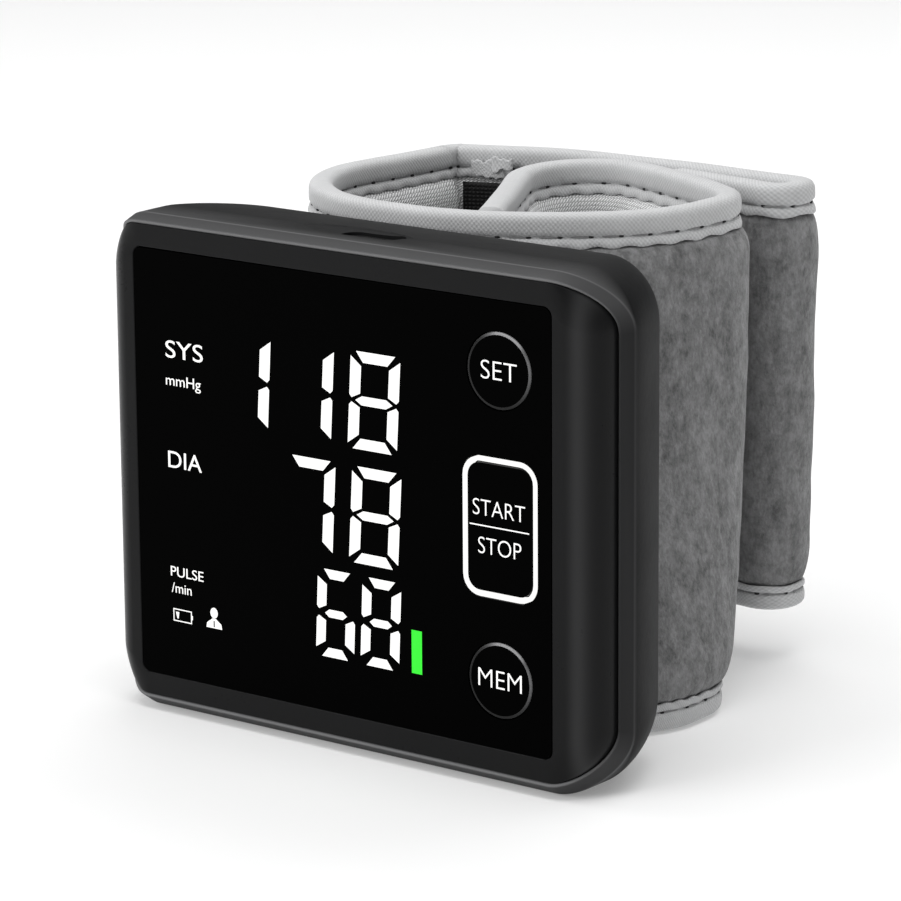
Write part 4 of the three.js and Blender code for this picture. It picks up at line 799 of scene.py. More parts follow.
def places_of(mesh):
    """The mesh's vertices in millimetres from the panel's middle."""
    points = np.empty(len(mesh.vertices) * 3)
    mesh.vertices.foreach_get("co", points)
    return (points.reshape(-1, 3) - np.array(DATUM)) / MM


def write_rim(mesh, shares):
    """How strong each vertex's painted highlight is, on an edge or on a sheen band, for the
    moulded plastics.
    """
    layer = mesh.attributes.new("rim", "FLOAT", "POINT")
    layer.data.foreach_set("value", np.asarray(shares, np.float32))


def mark_rims(mesh, lines, width):
    """Writes each vertex's painted edge highlight, by its distance from closed lines of
    [x, depth, z], painted stronger towards the top and bottom where the light falls.
    """
    points = places_of(mesh)
    edge_highlight = np.zeros(len(points))
    for strength, line in lines:
        for start, end in zip(line, np.roll(line, -1, 0)):
            way = end - start
            share = np.clip((points - start) @ way / max(way @ way, 1e-9), 0, 1)
            gap = np.linalg.norm(points - start - share[:, None] * way, axis=1)
            edge_highlight = np.maximum(edge_highlight, strength * np.exp(-(gap / width) ** 2))
    upright = np.clip((np.abs(points[:, 2]) - COVER_HALF_HEIGHT + COVER_CORNER) / RIM_RAMP, 0, 1)
    write_rim(mesh, edge_highlight * (RIM_LEAST + upright))


def rolled_depth(outline, width=ROLL_WIDTH, depth=ROLL_DEPTH):
    """How far behind the front the face lies at points of an outline: nothing above and
    below, rolled back at the sides, and easing from one to the other round the corners."""
    across = np.abs(outline[:, 0]) - (COVER_HALF_WIDTH - COVER_CORNER)
    up = np.abs(outline[:, 1]) - (COVER_HALF_HEIGHT - COVER_CORNER)
    across, up = np.maximum(across, 0), np.maximum(up, 0)
    reach = np.hypot(across, up)
    share = (reach + COVER_HALF_WIDTH - COVER_CORNER - FACE_FLAT) / width
    share = np.clip(share, 0, 1)
    facing = across ** 2 / np.maximum(reach, 1e-6) ** 2
    return depth * (1 - np.sqrt(1 - share * share)) * facing


def sideways(count):
    """For each point of a rounded outline, the square of how far its edge faces sideways."""
    quarter = np.cos(np.linspace(0, math.pi / 2, count // 4)) ** 2
    return np.concatenate([quarter, quarter[::-1]] * 2)


def cover_outline(inset=0.0):
    """The cover's edge, or a line that runs inside it."""
    height = COVER_HALF_HEIGHT - inset
    return rounded(COVER_HALF_WIDTH - inset, height, -height, COVER_CORNER - inset)


def recess_outline(reach):
    """The window's edge, or a line that runs outside it."""
    width, height = PANEL_HALF_WIDTH + reach, PANEL_HALF_HEIGHT + reach
    return rounded(width, height, -height, PANEL_CORNER + reach)


def cover_rings(edge):
    """The cover from the floor of its recess over the face and the skirt to its inner side."""
    rim = recess_outline(FINE_GAP + edge)
    outer = cover_outline()
    rings = [ring_at(recess_outline(FINE_GAP), RECESS_DEPTH)]
    for angle in np.linspace(0, math.pi / 2, 4)[:-1]:
        reach = FINE_GAP + edge * (1 - math.cos(angle))
        rings.append(ring_at(recess_outline(reach), edge * (1 - math.sin(angle))))
    side_reach = COVER_HALF_WIDTH - rim[0, 0]
    end_reach = COVER_HALF_HEIGHT - rim[:, 1].max()
    roll = FACE_FLAT + ROLL_WIDTH * np.sin(np.linspace(0, math.pi / 2, 25))
    soft = END_FILLET * edge
    fillet = 1 - soft * (1 - np.cos(np.linspace(0, math.pi / 2, 8))) / end_reach
    shares = np.unique(np.round(np.concatenate([[0.0], (roll - rim[0, 0]) / side_reach,
                                                fillet]), 5))
    upright = 1 - sideways(len(outer))
    for share in shares:
        outline = rim + (outer - rim) * share
        near = np.clip(1 - (1 - share) * end_reach / soft, 0, 1)
        drop = soft * (1 - math.sqrt(1 - near * near)) * upright
        rings.append(ring_at(outline, rolled_depth(outline) + drop))
    rings.append(ring_at(outer, COVER_DEPTH - SKIRT_EDGE))
    rings.append(ring_at(cover_outline(SKIRT_EDGE), COVER_DEPTH))
    wall = cover_outline(COVER_WALL)
    core_height = COVER_HALF_HEIGHT - COVER_CORE_INSET
    core = rounded(FACE_FLAT - 1, core_height, -core_height, COVER_CORE_CORNER)
    rings.append(ring_at(wall, COVER_DEPTH))
    for share in np.linspace(0, 1, 9):
        outline = wall + (core - wall) * share
        depth = rolled_depth(outline, ROLL_WIDTH - COVER_WALL, ROLL_DEPTH - COVER_WALL)
        rings.append(ring_at(outline, COVER_FLOOR_BACK + depth))
    return rings


def grown(side, top, bottom, corner):
    """The cover's outline grown by a margin on each side."""
    return rounded(COVER_HALF_WIDTH + side, COVER_HALF_HEIGHT + top,
                   -COVER_HALF_HEIGHT - bottom, COVER_CORNER + corner)


def grown_evenly(margin):
    return grown(margin, margin, margin, margin)


def round_back(margins, back):
    """Rings from the straight sides over the rounding to the back face."""
    side, top, bottom, corner = margins
    rings = []
    for angle in np.linspace(0, math.pi / 2, 25):
        inset = 1 - max(math.cos(angle), 0) ** BACK_ROUND_POWER
        depth = CASE_STRAIGHT + (back - CASE_STRAIGHT) * math.sin(angle) ** BACK_ROUND_POWER
        outline = grown(side - inset * BACK_ROUND_SIDE, top - inset * BACK_ROUND_END,
                        bottom - inset * BACK_ROUND_END, corner)
        rings.append(ring_at(outline, depth))
    return rings


def lip_profile():
    """[share of the way from the lip's land to the full margin, depth], front to back."""
    corner = np.array([1.0, LIP_CHAMFER_DEPTH])
    before, after = corner * LIP_CORNER[0], corner + [0, LIP_CORNER[1]]
    return [(1 - s) ** 2 * before + 2 * s * (1 - s) * corner + s * s * after
            for s in np.linspace(0, 1, 7)]


def shell_rings():
    """The shell from its inner back over the lip to its outer back."""
    front = rolled_depth(cover_outline())
    wall = [SHELL_MARGIN - SHELL_WALL] * 4
    rings = round_back(wall, CASE_BACK - SHELL_WALL)[::-1]
    ledge = COVER_DEPTH + PART_GAP
    rings[-1] = ring_at(grown(*wall), ledge)
    rings.append(ring_at(grown_evenly(PART_GAP), ledge))
    opened = sideways(len(front))[:, None] ** SEAM_OPENING
    seam = SEAM_AT_ENDS + (SEAM_AT_SIDES - SEAM_AT_ENDS) * opened
    cover, land, full = cover_outline(), grown_evenly(LIP_LAND), grown(*SHELL_MARGINS)
    near = cover + (grown_evenly(1.0) - cover) * seam
    rings.append(ring_at(grown_evenly(PART_GAP), front + SEAM_FLOOR))
    rings.append(ring_at(near, front + SEAM_MOUTH))
    for angle in np.linspace(0, math.pi / 2, 6):
        outline = near + (land - near) * (1 - math.cos(angle))
        rings.append(ring_at(outline, front + LIP_ROUND * (1 - math.sin(angle))))
    start = (LIP_CHAMFER_START, LIP_CHAMFER_START * LIP_CHAMFER_DEPTH)
    for share, depth in [start, *lip_profile()]:
        rings.append(ring_at(land + (full - land) * share, front + depth))
    return rings + round_back(SHELL_MARGINS, CASE_BACK)


def scoop_tool():
    """The shallow eye-shaped dish round the port."""
    angle = np.linspace(0, math.tau, 97)[:-1]
    x, y = np.cos(angle), np.sign(np.sin(angle)) * np.abs(np.sin(angle)) ** SCOOP_POINTEDNESS
    rings = []
    for share in (*np.sin(np.linspace(0.04, 1, 9) * math.pi / 2), SCOOP_OVERRUN):
        drop = SCOOP_DEPTH * (share ** SCOOP_STEEPNESS - 1)
        outline = np.stack([SCOOP_X + SCOOP_HALF_LENGTH * share * x,
                            SCOOP_BACK + SCOOP_HALF_WIDTH * share * y,
                            np.full(len(angle), CASE_TOP + drop)], 1)
        rings.append(outline)
    return ring_solid("scoop", rings)


def port_tool():
    """The charging port's hole, down from the top face."""
    outline = rounded(PORT_HALF_WIDTH, PORT_HALF_HEIGHT, -PORT_HALF_HEIGHT, PORT_HALF_HEIGHT)
    rings = [np.stack([PORT_X + outline[:, 0], PORT_BACK + outline[:, 1],
                       np.full(len(outline), z)], 1)
             for z in (CASE_TOP - PORT_REACH, CASE_TOP + 2)]
    return ring_solid("port", rings)


def rod(name, x, z, radius, front, back):
    """A round bar from one depth to another."""
    outline = [[x + radius * math.cos(a), z + radius * math.sin(a)]
               for a in np.linspace(0, math.tau, 49)[:-1]]
    return prism_mesh(name, [outline], front, back)


def at_screws(operation, name, size):
    """One cut or join at each case screw; size is radius, front and back."""
    return [(operation, rod(name, x, z, *size)) for x, z in CASE_SCREWS]


def round_key_cuts(front, back):
    """The holes of the two round keys."""
    radius = ROUND_KEY_RADIUS + KEY_GAP
    return [("DIFFERENCE", rod("key", KEY_COLUMN_X, z, radius, front, back))
            for z in (ROUND_KEY_Z, -ROUND_KEY_Z)]


# Cuff plan and sections


def bend_parts(corners):
    """Straights (start, end) and bends (centre, radius) along a chain of corners, each with
    its heading at the start and how far it turns."""
    points = [Vector((x, CASE_BACK + back)) for x, back, *_ in corners]
    parts, start = [], points[0]
    for i in range(1, len(points) - 1):
        into = (points[i] - points[i - 1]).normalized()
        out = (points[i + 1] - points[i]).normalized()
        turn = math.atan2(into.x * out.y - into.y * out.x, into.dot(out))
        radius = corners[i][2]
        reach = radius * math.tan(turn / 2)
        left = Vector((-into.y, into.x))
        centre = points[i] - into * reach + left * radius
        heading = math.atan2(into.y, into.x)
        end = points[i] - into * reach
        parts.append(("line", start, end, heading, 0.0))
        parts.append(("bend", centre, radius, heading, turn))
        start = points[i] + out * reach
    heading = math.atan2(out.y, out.x)
    parts.append(("line", start, points[-1], heading, 0.0))
    return parts


def part_length(part):
    kind, first, second, _, turn = part
    return (second - first).length if kind == "line" else second * turn


def stations(corners, counts=None):
    """[x, y, heading] along a chain of corners, and how many steps each part takes."""
    parts = bend_parts(corners)
    if counts is None:
        counts = [max(6, round(part_length(part) / STATION_SPACING)) for part in parts]
    found = []
    heading = parts[0][3]
    for part, count in zip(parts, counts):
        kind, first, second, _, turn = part
        shares = np.arange(count) / count
        if kind == "line":
            found += [[*first.lerp(second, s), heading] for s in shares]
        else:
            for s in shares:
                h = heading + turn * s
                found.append([first.x + second * math.sin(h), first.y - second * math.cos(h), h])
            heading += turn
    found.append([*parts[-1][2], heading])
    return np.array(found), counts


class Strap:
    """One stretch of the cuff: its plan at the upper and the lower edge, and its sizes."""

    def __init__(self, upper, lower, half, low=None):
        self.upper, self.lower, self.half = upper, lower, half
        steps = np.hypot(*np.diff(upper[:, :2], axis=0).T)
        self.along = np.concatenate([[0.0], np.cumsum(steps)])
        self.count = len(upper)
        self.low = np.full(self.count, CUFF_BOTTOM) if low is None else low
        self.rise = np.zeros(self.count)

    @classmethod
    def through(cls, upper, lower, half, low=None):
        top, counts = stations(upper)
        bottom, _ = stations(lower, counts)
        heights = None if low is None else low(np.arange(len(top)) / (len(top) - 1))
        return cls(top, bottom, np.full(len(top), half), heights)

    def put(self, out, z):
        """Points of the frame at distances out of the strap's middle and heights z."""
        drop = ((CUFF_TOP - z) / (CUFF_TOP - CUFF_BOTTOM)) ** 2
        sides = []
        for edge in (self.upper, self.lower):
            x, y, heading = (edge[:, i][:, None] for i in range(3))
            sides.append((x + out * np.sin(heading), y - out * np.cos(heading)))
        (x1, y1), (x2, y2) = sides
        x, y = x1 + (x2 - x1) * drop, y1 + (y2 - y1) * drop
        height = np.clip((z - CUFF_BOTTOM) / (CUFF_TOP - CUFF_BOTTOM), 0, 1)
        lifted = z + self.rise[:, None] * height ** 3
        return np.stack([x, y, lifted], 2) * MM + np.array(DATUM)

    def between(self, first, last):
        """The strap between two shares of its length, with fresh stations."""
        reach = self.along[-1] - self.along[0]
        count = max(12, round(reach * (last - first) / FINE_SPACING))
        along = self.along[0] + reach * np.linspace(first, last, count)

        def at(values):
            return np.interp(along, self.along, values)

        edges = [np.stack([at(edge[:, i]) for i in range(3)], 1)
                 for edge in (self.upper, self.lower)]
        strap = Strap(*edges, at(self.half), at(self.low))
        strap.along = along
        strap.rise = at(self.rise)
        return strap


def wobble(along, up, length, seed):
    """Smooth unevenness between -1 and 1, from a few crossing waves of a fixed seed."""
    random = np.random.default_rng(seed)
    total = 0.0
    for _ in range(6):
        angle = random.uniform(0, math.tau)
        pace = math.tau / (length * random.uniform(0.7, 1.6))
        phase = random.uniform(0, math.tau)
        total = total + np.sin(pace * (along * math.cos(angle) + up * math.sin(angle)) + phase)
    return total / 6


def pad_half_at(z, low, half):
    """Half thickness of the padding at a height, swelling from its two bound edges."""
    def rise(from_edge, shoulder):
        share = np.clip((from_edge - BINDING_HEIGHT) / shoulder, 0, 1)
        return np.sqrt(1 - (1 - share) ** 2)
    swell = np.minimum(rise(CUFF_TOP - z, SHOULDER_TOP),
                       rise(z - low + FOOT_LIFT, SHOULDER_BOTTOM))
    return EDGE_HALF + (half - EDGE_HALF) * swell


def skin_rows(low):
    """Heights of a skin's rows at each station: close where it swells, wide in between."""
    turn = 1 - np.cos(np.linspace(0, math.pi / 2, 9))
    lower = low[:, None] + BINDING_HEIGHT - FOOT_LIFT + turn * SHOULDER_BOTTOM
    upper = (CUFF_TOP - BINDING_HEIGHT - turn * SHOULDER_TOP)[::-1]
    upper = np.broadcast_to(upper, (len(low), len(upper)))
    share = np.linspace(0, 1, 30)[1:-1]
    middle = lower[:, -1:] + (upper[:, :1] - lower[:, -1:]) * share
    foot = low[:, None] + np.array(FOOT_ROWS)
    head = np.broadcast_to(CUFF_TOP - np.array(HEAD_ROWS), (len(low), len(HEAD_ROWS)))
    return np.concatenate([foot, lower, middle, upper, head], 1)


def skin_out(strap, z, seed, unevenness, pitch):
    """How far a skin lies out of the strap's middle: padding, soft hollows and puckers."""
    low, half, along = strap.low[:, None], strap.half[:, None], strap.along[:, None]
    out = pad_half_at(z, low, half)
    inside = np.clip(np.minimum(CUFF_TOP - z, z - low) / BINDING_HEIGHT - 1, 0, 1)
    hollow = wobble(along, z * 0.8, HOLLOW_LENGTH, seed)
    hollow = hollow + 0.5 * wobble(along, z, DIMPLE_LENGTH, seed + 1)
    edge = np.minimum(CUFF_TOP - z, z - low + FOOT_LIFT) - BINDING_HEIGHT
    pucker = np.cos(math.tau * along / pitch) * np.exp(-np.clip(edge, 0, None) / PUCKER_REACH)
    pucker = np.where(edge > -0.2, pucker, 0) * 0.5
    return out + unevenness * (hollow * inside + pucker)


def cuff_skin(name, strap, side, material, body, seed, replaces=()):
    """One cloth face of the strap, on its outer side (1) or its inner side (-1)."""
    looks = bpy.context.scene.monitor_cuff
    rows = skin_rows(strap.low)
    out = skin_out(strap, rows, seed, looks.unevenness / MM, looks.stitch_pitch / MM)
    face, back = side * out, side * (out - SKIN)
    z = np.concatenate([rows, rows[:, ::-1]], 1)
    rings = strap.put(np.concatenate([face, back[:, ::-1]], 1), z)
    across = z[0] * MM
    turn = len(across) // 2
    across[turn:] = 2 * across[turn - 1] - across[turn:] + 0.0007
    mesh = swept_mesh(name, rings, strap.along * MM, across)
    return add_object(name, mesh, material, body, replaces)


def tape_profile():
    """Folded tape on one side of an edge: [out, drop] from the hem over the seam's groove
    towards the fold, then back along the inner face."""
    fold = [[BINDING_HALF * math.sin(a) ** 0.62, 1.45 * (1 - math.cos(a) ** 0.75)]
            for a in np.linspace(0, math.pi / 2, 9)[::-1]]
    outer = [[1.5, 4.42], [1.68, 4.42], [1.78, 4.3], [1.8, 3.95], [1.74, 3.5], [1.58, 3.28],
             [1.36, 3.12], [1.32, 3.02], [1.42, 2.9], [1.6, 2.72], [1.71, 2.5], [1.75, 2.2],
             [1.76, 1.85]]
    inner = [[1.18, 4.36], [1.1, 3.9], [1.02, 3.35], [1.12, 2.6], [1.18, 1.6], [1.1, 0.9],
             [0.8, 0.6], [0.35, 0.55], [0.0, 0.55]]
    return np.array(outer + fold), np.array(inner)


def binding(name, strap, top, body, seed, replaces=()):
    """Woven tape folded over one edge, drawn in along its seam and fluted below it."""
    pitch = bpy.context.scene.monitor_cuff.stitch_pitch / MM
    outer, inner = tape_profile()
    section = np.concatenate([inner[::-1], outer, outer[::-1][1:] * [-1, 1],
                              (inner * [-1, 1])[:-1]])
    out, drop = section[:, 0][None, :], section[:, 1][None, :]
    along = strap.along[:, None]
    seam = np.exp(-((drop - STITCH_DROP) / SEAM_GROOVE) ** 2)
    free = np.clip((drop - STITCH_DROP) / FREE_HEM, 0, 1)
    flute = np.cos(math.tau * along / pitch + (0 if top else 1.3))
    strength = np.sign(out) * np.clip(np.abs(out), 0, 1)
    shift = strength * (FLUTE_OUT * flute * free - SEAM_PULL * (1 + flute) * seam
                        + TAPE_STRAY * wobble(along, drop, 9.0, seed))
    slack = np.clip(1 - drop / BINDING_HEIGHT, 0, 1)
    sag = TAPE_SAG * (1 + wobble(along, 0 * drop, 23.0, seed + 3)) * slack
    ragged = FLUTE_DOWN * flute + HEM_STRAY * wobble(along, 0 * drop, 3.0, seed + 5)
    down = drop + sag + ragged * free
    z = CUFF_TOP - down if top else strap.low[:, None] + FOOT_SHARE * down
    rings = strap.put(out + shift, z)
    steps = np.hypot(*np.diff(section, axis=0).T)
    across = np.concatenate([[0.0], np.cumsum(steps)]) * MM
    mesh = swept_mesh(name, rings, strap.along * MM, across)
    return add_object(name, mesh, "tape_grey", body, replaces)


def laid_strip(name, strap, faces, z, material, body, soften=0.4, seed=0, stray=0.0,
               replaces=()):
    """A strip laid on the strap between two distances out of its middle. z gives its lower
    and upper edge at each station; its edges are rounded and it strays a little."""
    near, far = faces
    low, high = z
    share = np.concatenate([[0, 0.004, 0.02, 0.05], np.linspace(0.1, 0.9, 14),
                            [0.95, 0.98, 0.996, 1]])
    low, high = (np.broadcast_to(edge, strap.count)[:, None] for edge in (low, high))
    rows = low + (high - low) * share
    inside = np.clip(np.minimum(rows - low, high - rows) / soften, 0, 1)
    ends = np.minimum(strap.along - strap.along[0], strap.along[-1] - strap.along)[:, None]
    round_ = np.sqrt(1 - (1 - inside) ** 2) * np.sqrt(1 - (1 - np.clip(ends / soften, 0, 1)) ** 2)
    middle = (near + far) / 2 + stray * wobble(strap.along[:, None], rows, 5.0, seed)
    thick = (far - near) / 2 * np.clip(round_, 0.12, 1)
    out = np.concatenate([middle + thick, (middle - thick)[:, ::-1]], 1)
    rings = strap.put(out, np.concatenate([rows, rows[:, ::-1]], 1))
    across = (rows[0] - rows[0, 0]) * MM
    across = np.concatenate([across, 2 * across[-1] - across[::-1] + 0.0005])
    mesh = swept_mesh(name, rings, strap.along * MM, across)
    return add_object(name, mesh, material, body, replaces)


def end_tape(name, strap, body, first):
    """The tape folded over the strap's open first or last end, from edge to edge."""
    sign, station = (-1, 0) if first else (1, strap.count - 1)
    half = strap.half[station]
    turn = np.linspace(-math.pi / 2, math.pi / 2, 13)
    wide, narrow = half + TAPE + 0.1, half + 0.05
    reach = -END_TAPE_REACH
    path = [[reach, -wide]] + [[0.5 + wide * 0.5 * math.cos(a), wide * math.sin(a)] for a in turn]
    path += [[reach, wide], [reach, narrow]]
    path += [[0.1 + narrow * 0.4 * math.cos(a), narrow * math.sin(a)] for a in turn[::-1]]
    path += [[reach, -narrow]]
    path = np.array(path)
    z = np.linspace(strap.low[station] + 0.9, CUFF_TOP - 1.3, 40)
    drop = (((CUFF_TOP - z) / (CUFF_TOP - CUFF_BOTTOM)) ** 2)[:, None]
    edges = []
    for x, y, heading in (strap.upper[station], strap.lower[station]):
        ahead, out = sign * path[:, 0], path[:, 1]
        edges.append((x + ahead * math.cos(heading) + out * math.sin(heading),
                      y + ahead * math.sin(heading) - out * math.cos(heading)))
    ripple = 1 + 0.03 * np.sin(z * math.tau / 4)[:, None]
    x, y = (edges[0][i] + (edges[1][i] - edges[0][i]) * drop for i in (0, 1))
    x = strap.upper[station][0] + (x - strap.upper[station][0]) * ripple
    rings = np.stack([x, y, np.broadcast_to(z[:, None], x.shape)], 2) * MM + np.array(DATUM)
    steps = np.hypot(*np.diff(path, axis=0).T)
    mesh = swept_mesh(name, rings, z * MM, np.concatenate([[0.0], np.cumsum(steps)]) * MM)
    return add_object(name, mesh, "tape_grey", body)


def seam_line(strap, side, top):
    """Points of a row of stitches on one side of a bound edge."""
    out = side * np.full((strap.count, 1), STITCH_OUT)
    if top:
        z = np.full((strap.count, 1), CUFF_TOP - STITCH_DROP)
    else:
        z = strap.low[:, None] + STITCH_DROP * FOOT_SHARE
    return strap.put(out, z)[:, 0]


def stitch_tree():
    """Geometry nodes that lay one bead every pitch along a line, turned to follow it."""
    tree = bpy.data.node_groups.new("stitches_along_a_line", "GeometryNodeTree")
    sockets = tree.interface
    sockets.new_socket("Geometry", in_out="INPUT", socket_type="NodeSocketGeometry")
    for name, default in (("Pitch", 0.004), ("Length", 0.0032), ("Thickness", 0.0004),
                          ("Height", 0.0004), ("Start", 0.0)):
        socket = sockets.new_socket(name, in_out="INPUT", socket_type="NodeSocketFloat")
        socket.default_value = default
    sockets.new_socket("Material", in_out="INPUT", socket_type="NodeSocketMaterial")
    sockets.new_socket("Geometry", in_out="OUTPUT", socket_type="NodeSocketGeometry")
    add = tree.nodes.new
    given, made = add("NodeGroupInput"), add("NodeGroupOutput")
    trim = add("GeometryNodeTrimCurve")
    trim.mode = "LENGTH"
    length = add("GeometryNodeCurveLength")
    spread = add("GeometryNodeCurveToPoints")
    spread.mode = "LENGTH"
    bead = add("GeometryNodeMeshUVSphere")
    bead.inputs["Segments"].default_value = 8
    bead.inputs["Rings"].default_value = 5
    bead.inputs["Radius"].default_value = 0.5
    size = add("ShaderNodeCombineXYZ")
    lay = add("GeometryNodeInstanceOnPoints")
    real = add("GeometryNodeRealizeInstances")
    smooth = add("GeometryNodeSetShadeSmooth")
    coat = add("GeometryNodeSetMaterial")
    links = [
        (given.outputs["Geometry"], trim.inputs["Curve"]),
        (given.outputs["Start"], trim.inputs[4]),
        (given.outputs["Geometry"], length.inputs[0]),
        (length.outputs[0], trim.inputs[5]),
        (trim.outputs[0], spread.inputs["Curve"]),
        (given.outputs["Pitch"], spread.inputs["Length"]),
        (spread.outputs["Points"], lay.inputs["Points"]),
        (spread.outputs["Rotation"], lay.inputs["Rotation"]),
        (bead.outputs["Mesh"], lay.inputs["Instance"]),
        (given.outputs["Thickness"], size.inputs["X"]),
        (given.outputs["Height"], size.inputs["Y"]),
        (given.outputs["Length"], size.inputs["Z"]),
        (size.outputs[0], lay.inputs["Scale"]),
        (lay.outputs[0], real.inputs[0]),
        (real.outputs[0], smooth.inputs["Geometry"]),
        (smooth.outputs[0], coat.inputs["Geometry"]),
        (given.outputs["Material"], coat.inputs["Material"]),
        (coat.outputs[0], made.inputs[0]),
    ]
    for source, target in links:
        tree.links.new(source, target)
    return tree


def stitches(name, lines, material, body, slot, **sizes):
    """Beads along lines: the tree's result as one plain mesh on its body."""
    tree = bpy.data.node_groups.get("stitches_along_a_line") or stitch_tree()
    curve = bpy.data.curves.new(name, "CURVE")
    curve.dimensions = "3D"
    for line in lines:
        spline = curve.splines.new("POLY")
        spline.points.add(len(line) - 1)
        spline.points.foreach_set("co", np.concatenate([line, np.ones((len(line), 1))], 1).ravel())
    carrier = bpy.data.objects.new(name + "_line", curve)
    bpy.context.scene.collection.objects.link(carrier)
    modifier = carrier.modifiers.new("stitches", "NODES")
    modifier.node_group = tree
    keys = {item.name: item.identifier for item in tree.interface.items_tree
            if item.in_out == "INPUT"}
    for key, value in sizes.items():
        modifier[keys[key.capitalize()]] = value
    modifier[keys["Material"]] = finish(material)
    return add_object(name, settled(carrier), material, body)


def flap_low(share):
    """The flap's lower edge rises from the crease towards its fold."""
    rise = np.clip((1 - share) / FLAP_RISE_START, 0, 1)
    rise = rise * rise * (3 - 2 * rise)
    return CUFF_BOTTOM + FLAP_RISE / 2 * (1 + rise)


def tapered(strap, from_end):
    """Half thicknesses of the strap, thinning towards its open end."""
    share = np.clip((from_end - TAPER_START) / TAPER_LENGTH, 0, 1)
    return EDGE_HALF + (strap.half - EDGE_HALF) * np.sqrt(1 - (1 - share) ** 2)


def sleeve_strap():
    """The sleeve, from the crease round the left bend to the end of the roll."""
    strap = Strap.through(SLEEVE_UPPER, SLEEVE_LOWER, PAD_HALF)
    shares, rises = zip(*SLEEVE_RISE)
    fine = np.interp(np.linspace(0, 1, 401), shares, rises)
    fine = np.convolve(np.pad(fine, 12, mode="edge"), np.ones(25) / 25, "valid")
    strap.rise = np.interp(strap.along / strap.along[-1], np.linspace(0, 1, 401), fine)
    strap.half = tapered(strap, strap.along[-1] - strap.along)
    return strap


def flap_strap():
    """The flap, from its free inner end round the fold to the crease."""
    strap = Strap.through(FLAP_UPPER, FLAP_LOWER, FLAP_HALF, flap_low)
    strap.along -= strap.along[-1]
    strap.half = tapered(strap, strap.along - strap.along[0])
    return strap


def crease_strap(flap, sleeve):
    """The short bend between the flap's root and the sleeve's start."""
    s = np.linspace(0, 1, 15)[:, None]
    ease = s * s * (3 - 2 * s)
    edges = []
    for a, b in ((flap.upper[-1], sleeve.upper[0]), (flap.lower[-1], sleeve.lower[0])):
        turned = b[2] + math.tau * round((a[2] - b[2]) / math.tau)
        slope_a = np.array([math.cos(a[2]), math.sin(a[2])]) * CREASE_PULL
        slope_b = np.array([math.cos(turned), math.sin(turned)]) * CREASE_PULL
        point = ((2 * s**3 - 3 * s**2 + 1) * a[:2] + (s**3 - 2 * s**2 + s) * slope_a
                 + (3 * s**2 - 2 * s**3) * b[:2] + (s**3 - s**2) * slope_b)
        edges.append(np.concatenate([point, a[2] + (turned - a[2]) * s], 1))
    half = (flap.half[-1] + (sleeve.half[0] - flap.half[-1]) * ease)[:, 0]
    low = (flap.low[-1] + (sleeve.low[0] - flap.low[-1]) * ease)[:, 0]
    strap = Strap(edges[0], edges[1], half, low)
    strap.along -= strap.along[-1]
    return strap


# Pieces


class MONITOR_OT_case(bpy.types.Operator):
    """Moulded cover and shell, with their rounds, lip, scoop and screw wells"""

    bl_idname = "monitor.case"
    bl_label = "Case"

    def execute(self, context):
        edge = context.scene.monitor_case.edge / MM
        self.cover(edge)
        self.shell()
        return {"FINISHED"}

    def cover(self, edge):
        depths = (OPENING_FRONT, COVER_FLOOR_BACK + CUT_OVERRUN)
        steps = [
            *at_screws("UNION", "boss", COVER_BOSS),
            *at_screws("DIFFERENCE", "bore", COVER_BORE),
            ("DIFFERENCE", round_plate("display", *DISPLAY_OPENING, *depths)),
            *round_key_cuts(*depths),
            ("DIFFERENCE", round_plate("main_key", *MAIN_KEY_HOLE, *depths)),
            ("DIFFERENCE", port_tool()),
        ]
        mesh = shaped(ring_solid("front_cover_moulding", cover_rings(edge)), steps)
        # Painted highlight band down the rolled sides, written into the rim attribute
        across = np.abs(places_of(mesh)[:, 0])
        write_rim(mesh, PAINTED_SHEEN * np.exp(-((across - PAINTED_SHEEN_X) / PAINTED_SHEEN_WIDTH) ** 2))
        add_moulding("front_cover_moulding", mesh, "cover_plastic", "front_cover")

    def shell(self):
        depths = (CASE_BACK - SHELL_WALL - CUT_OVERRUN, CASE_BACK + CUT_OVERRUN)
        steps = [
            *at_screws("UNION", "boss", SHELL_BOSS),
            *at_screws("DIFFERENCE", "well", SHELL_WELL),
            *at_screws("DIFFERENCE", "hole", SHELL_BORE),
            *[("DIFFERENCE", rod("mount", MOUNT_X, z, radius, *depths))
              for z, radius in MOUNT_HOLES],
            ("DIFFERENCE", scoop_tool()),
            ("DIFFERENCE", port_tool()),
        ]
        mesh = shaped(ring_solid("rear_shell_moulding", shell_rings()), steps)
        # Painted highlight lines along the lip's land and the back corner of its chamfer
        front = rolled_depth(cover_outline())
        land = ring_at(grown_evenly(RIM_INSET), front + 0.02)
        corner = ring_at(grown(*SHELL_MARGINS), front + LIP_CHAMFER_DEPTH)
        mark_rims(mesh, [(RIM_AT_LAND, land), (RIM_AT_CORNER, corner)], RIM_WIDTH)
        add_moulding("rear_shell_moulding", mesh, "shell_plastic", "rear_shell")


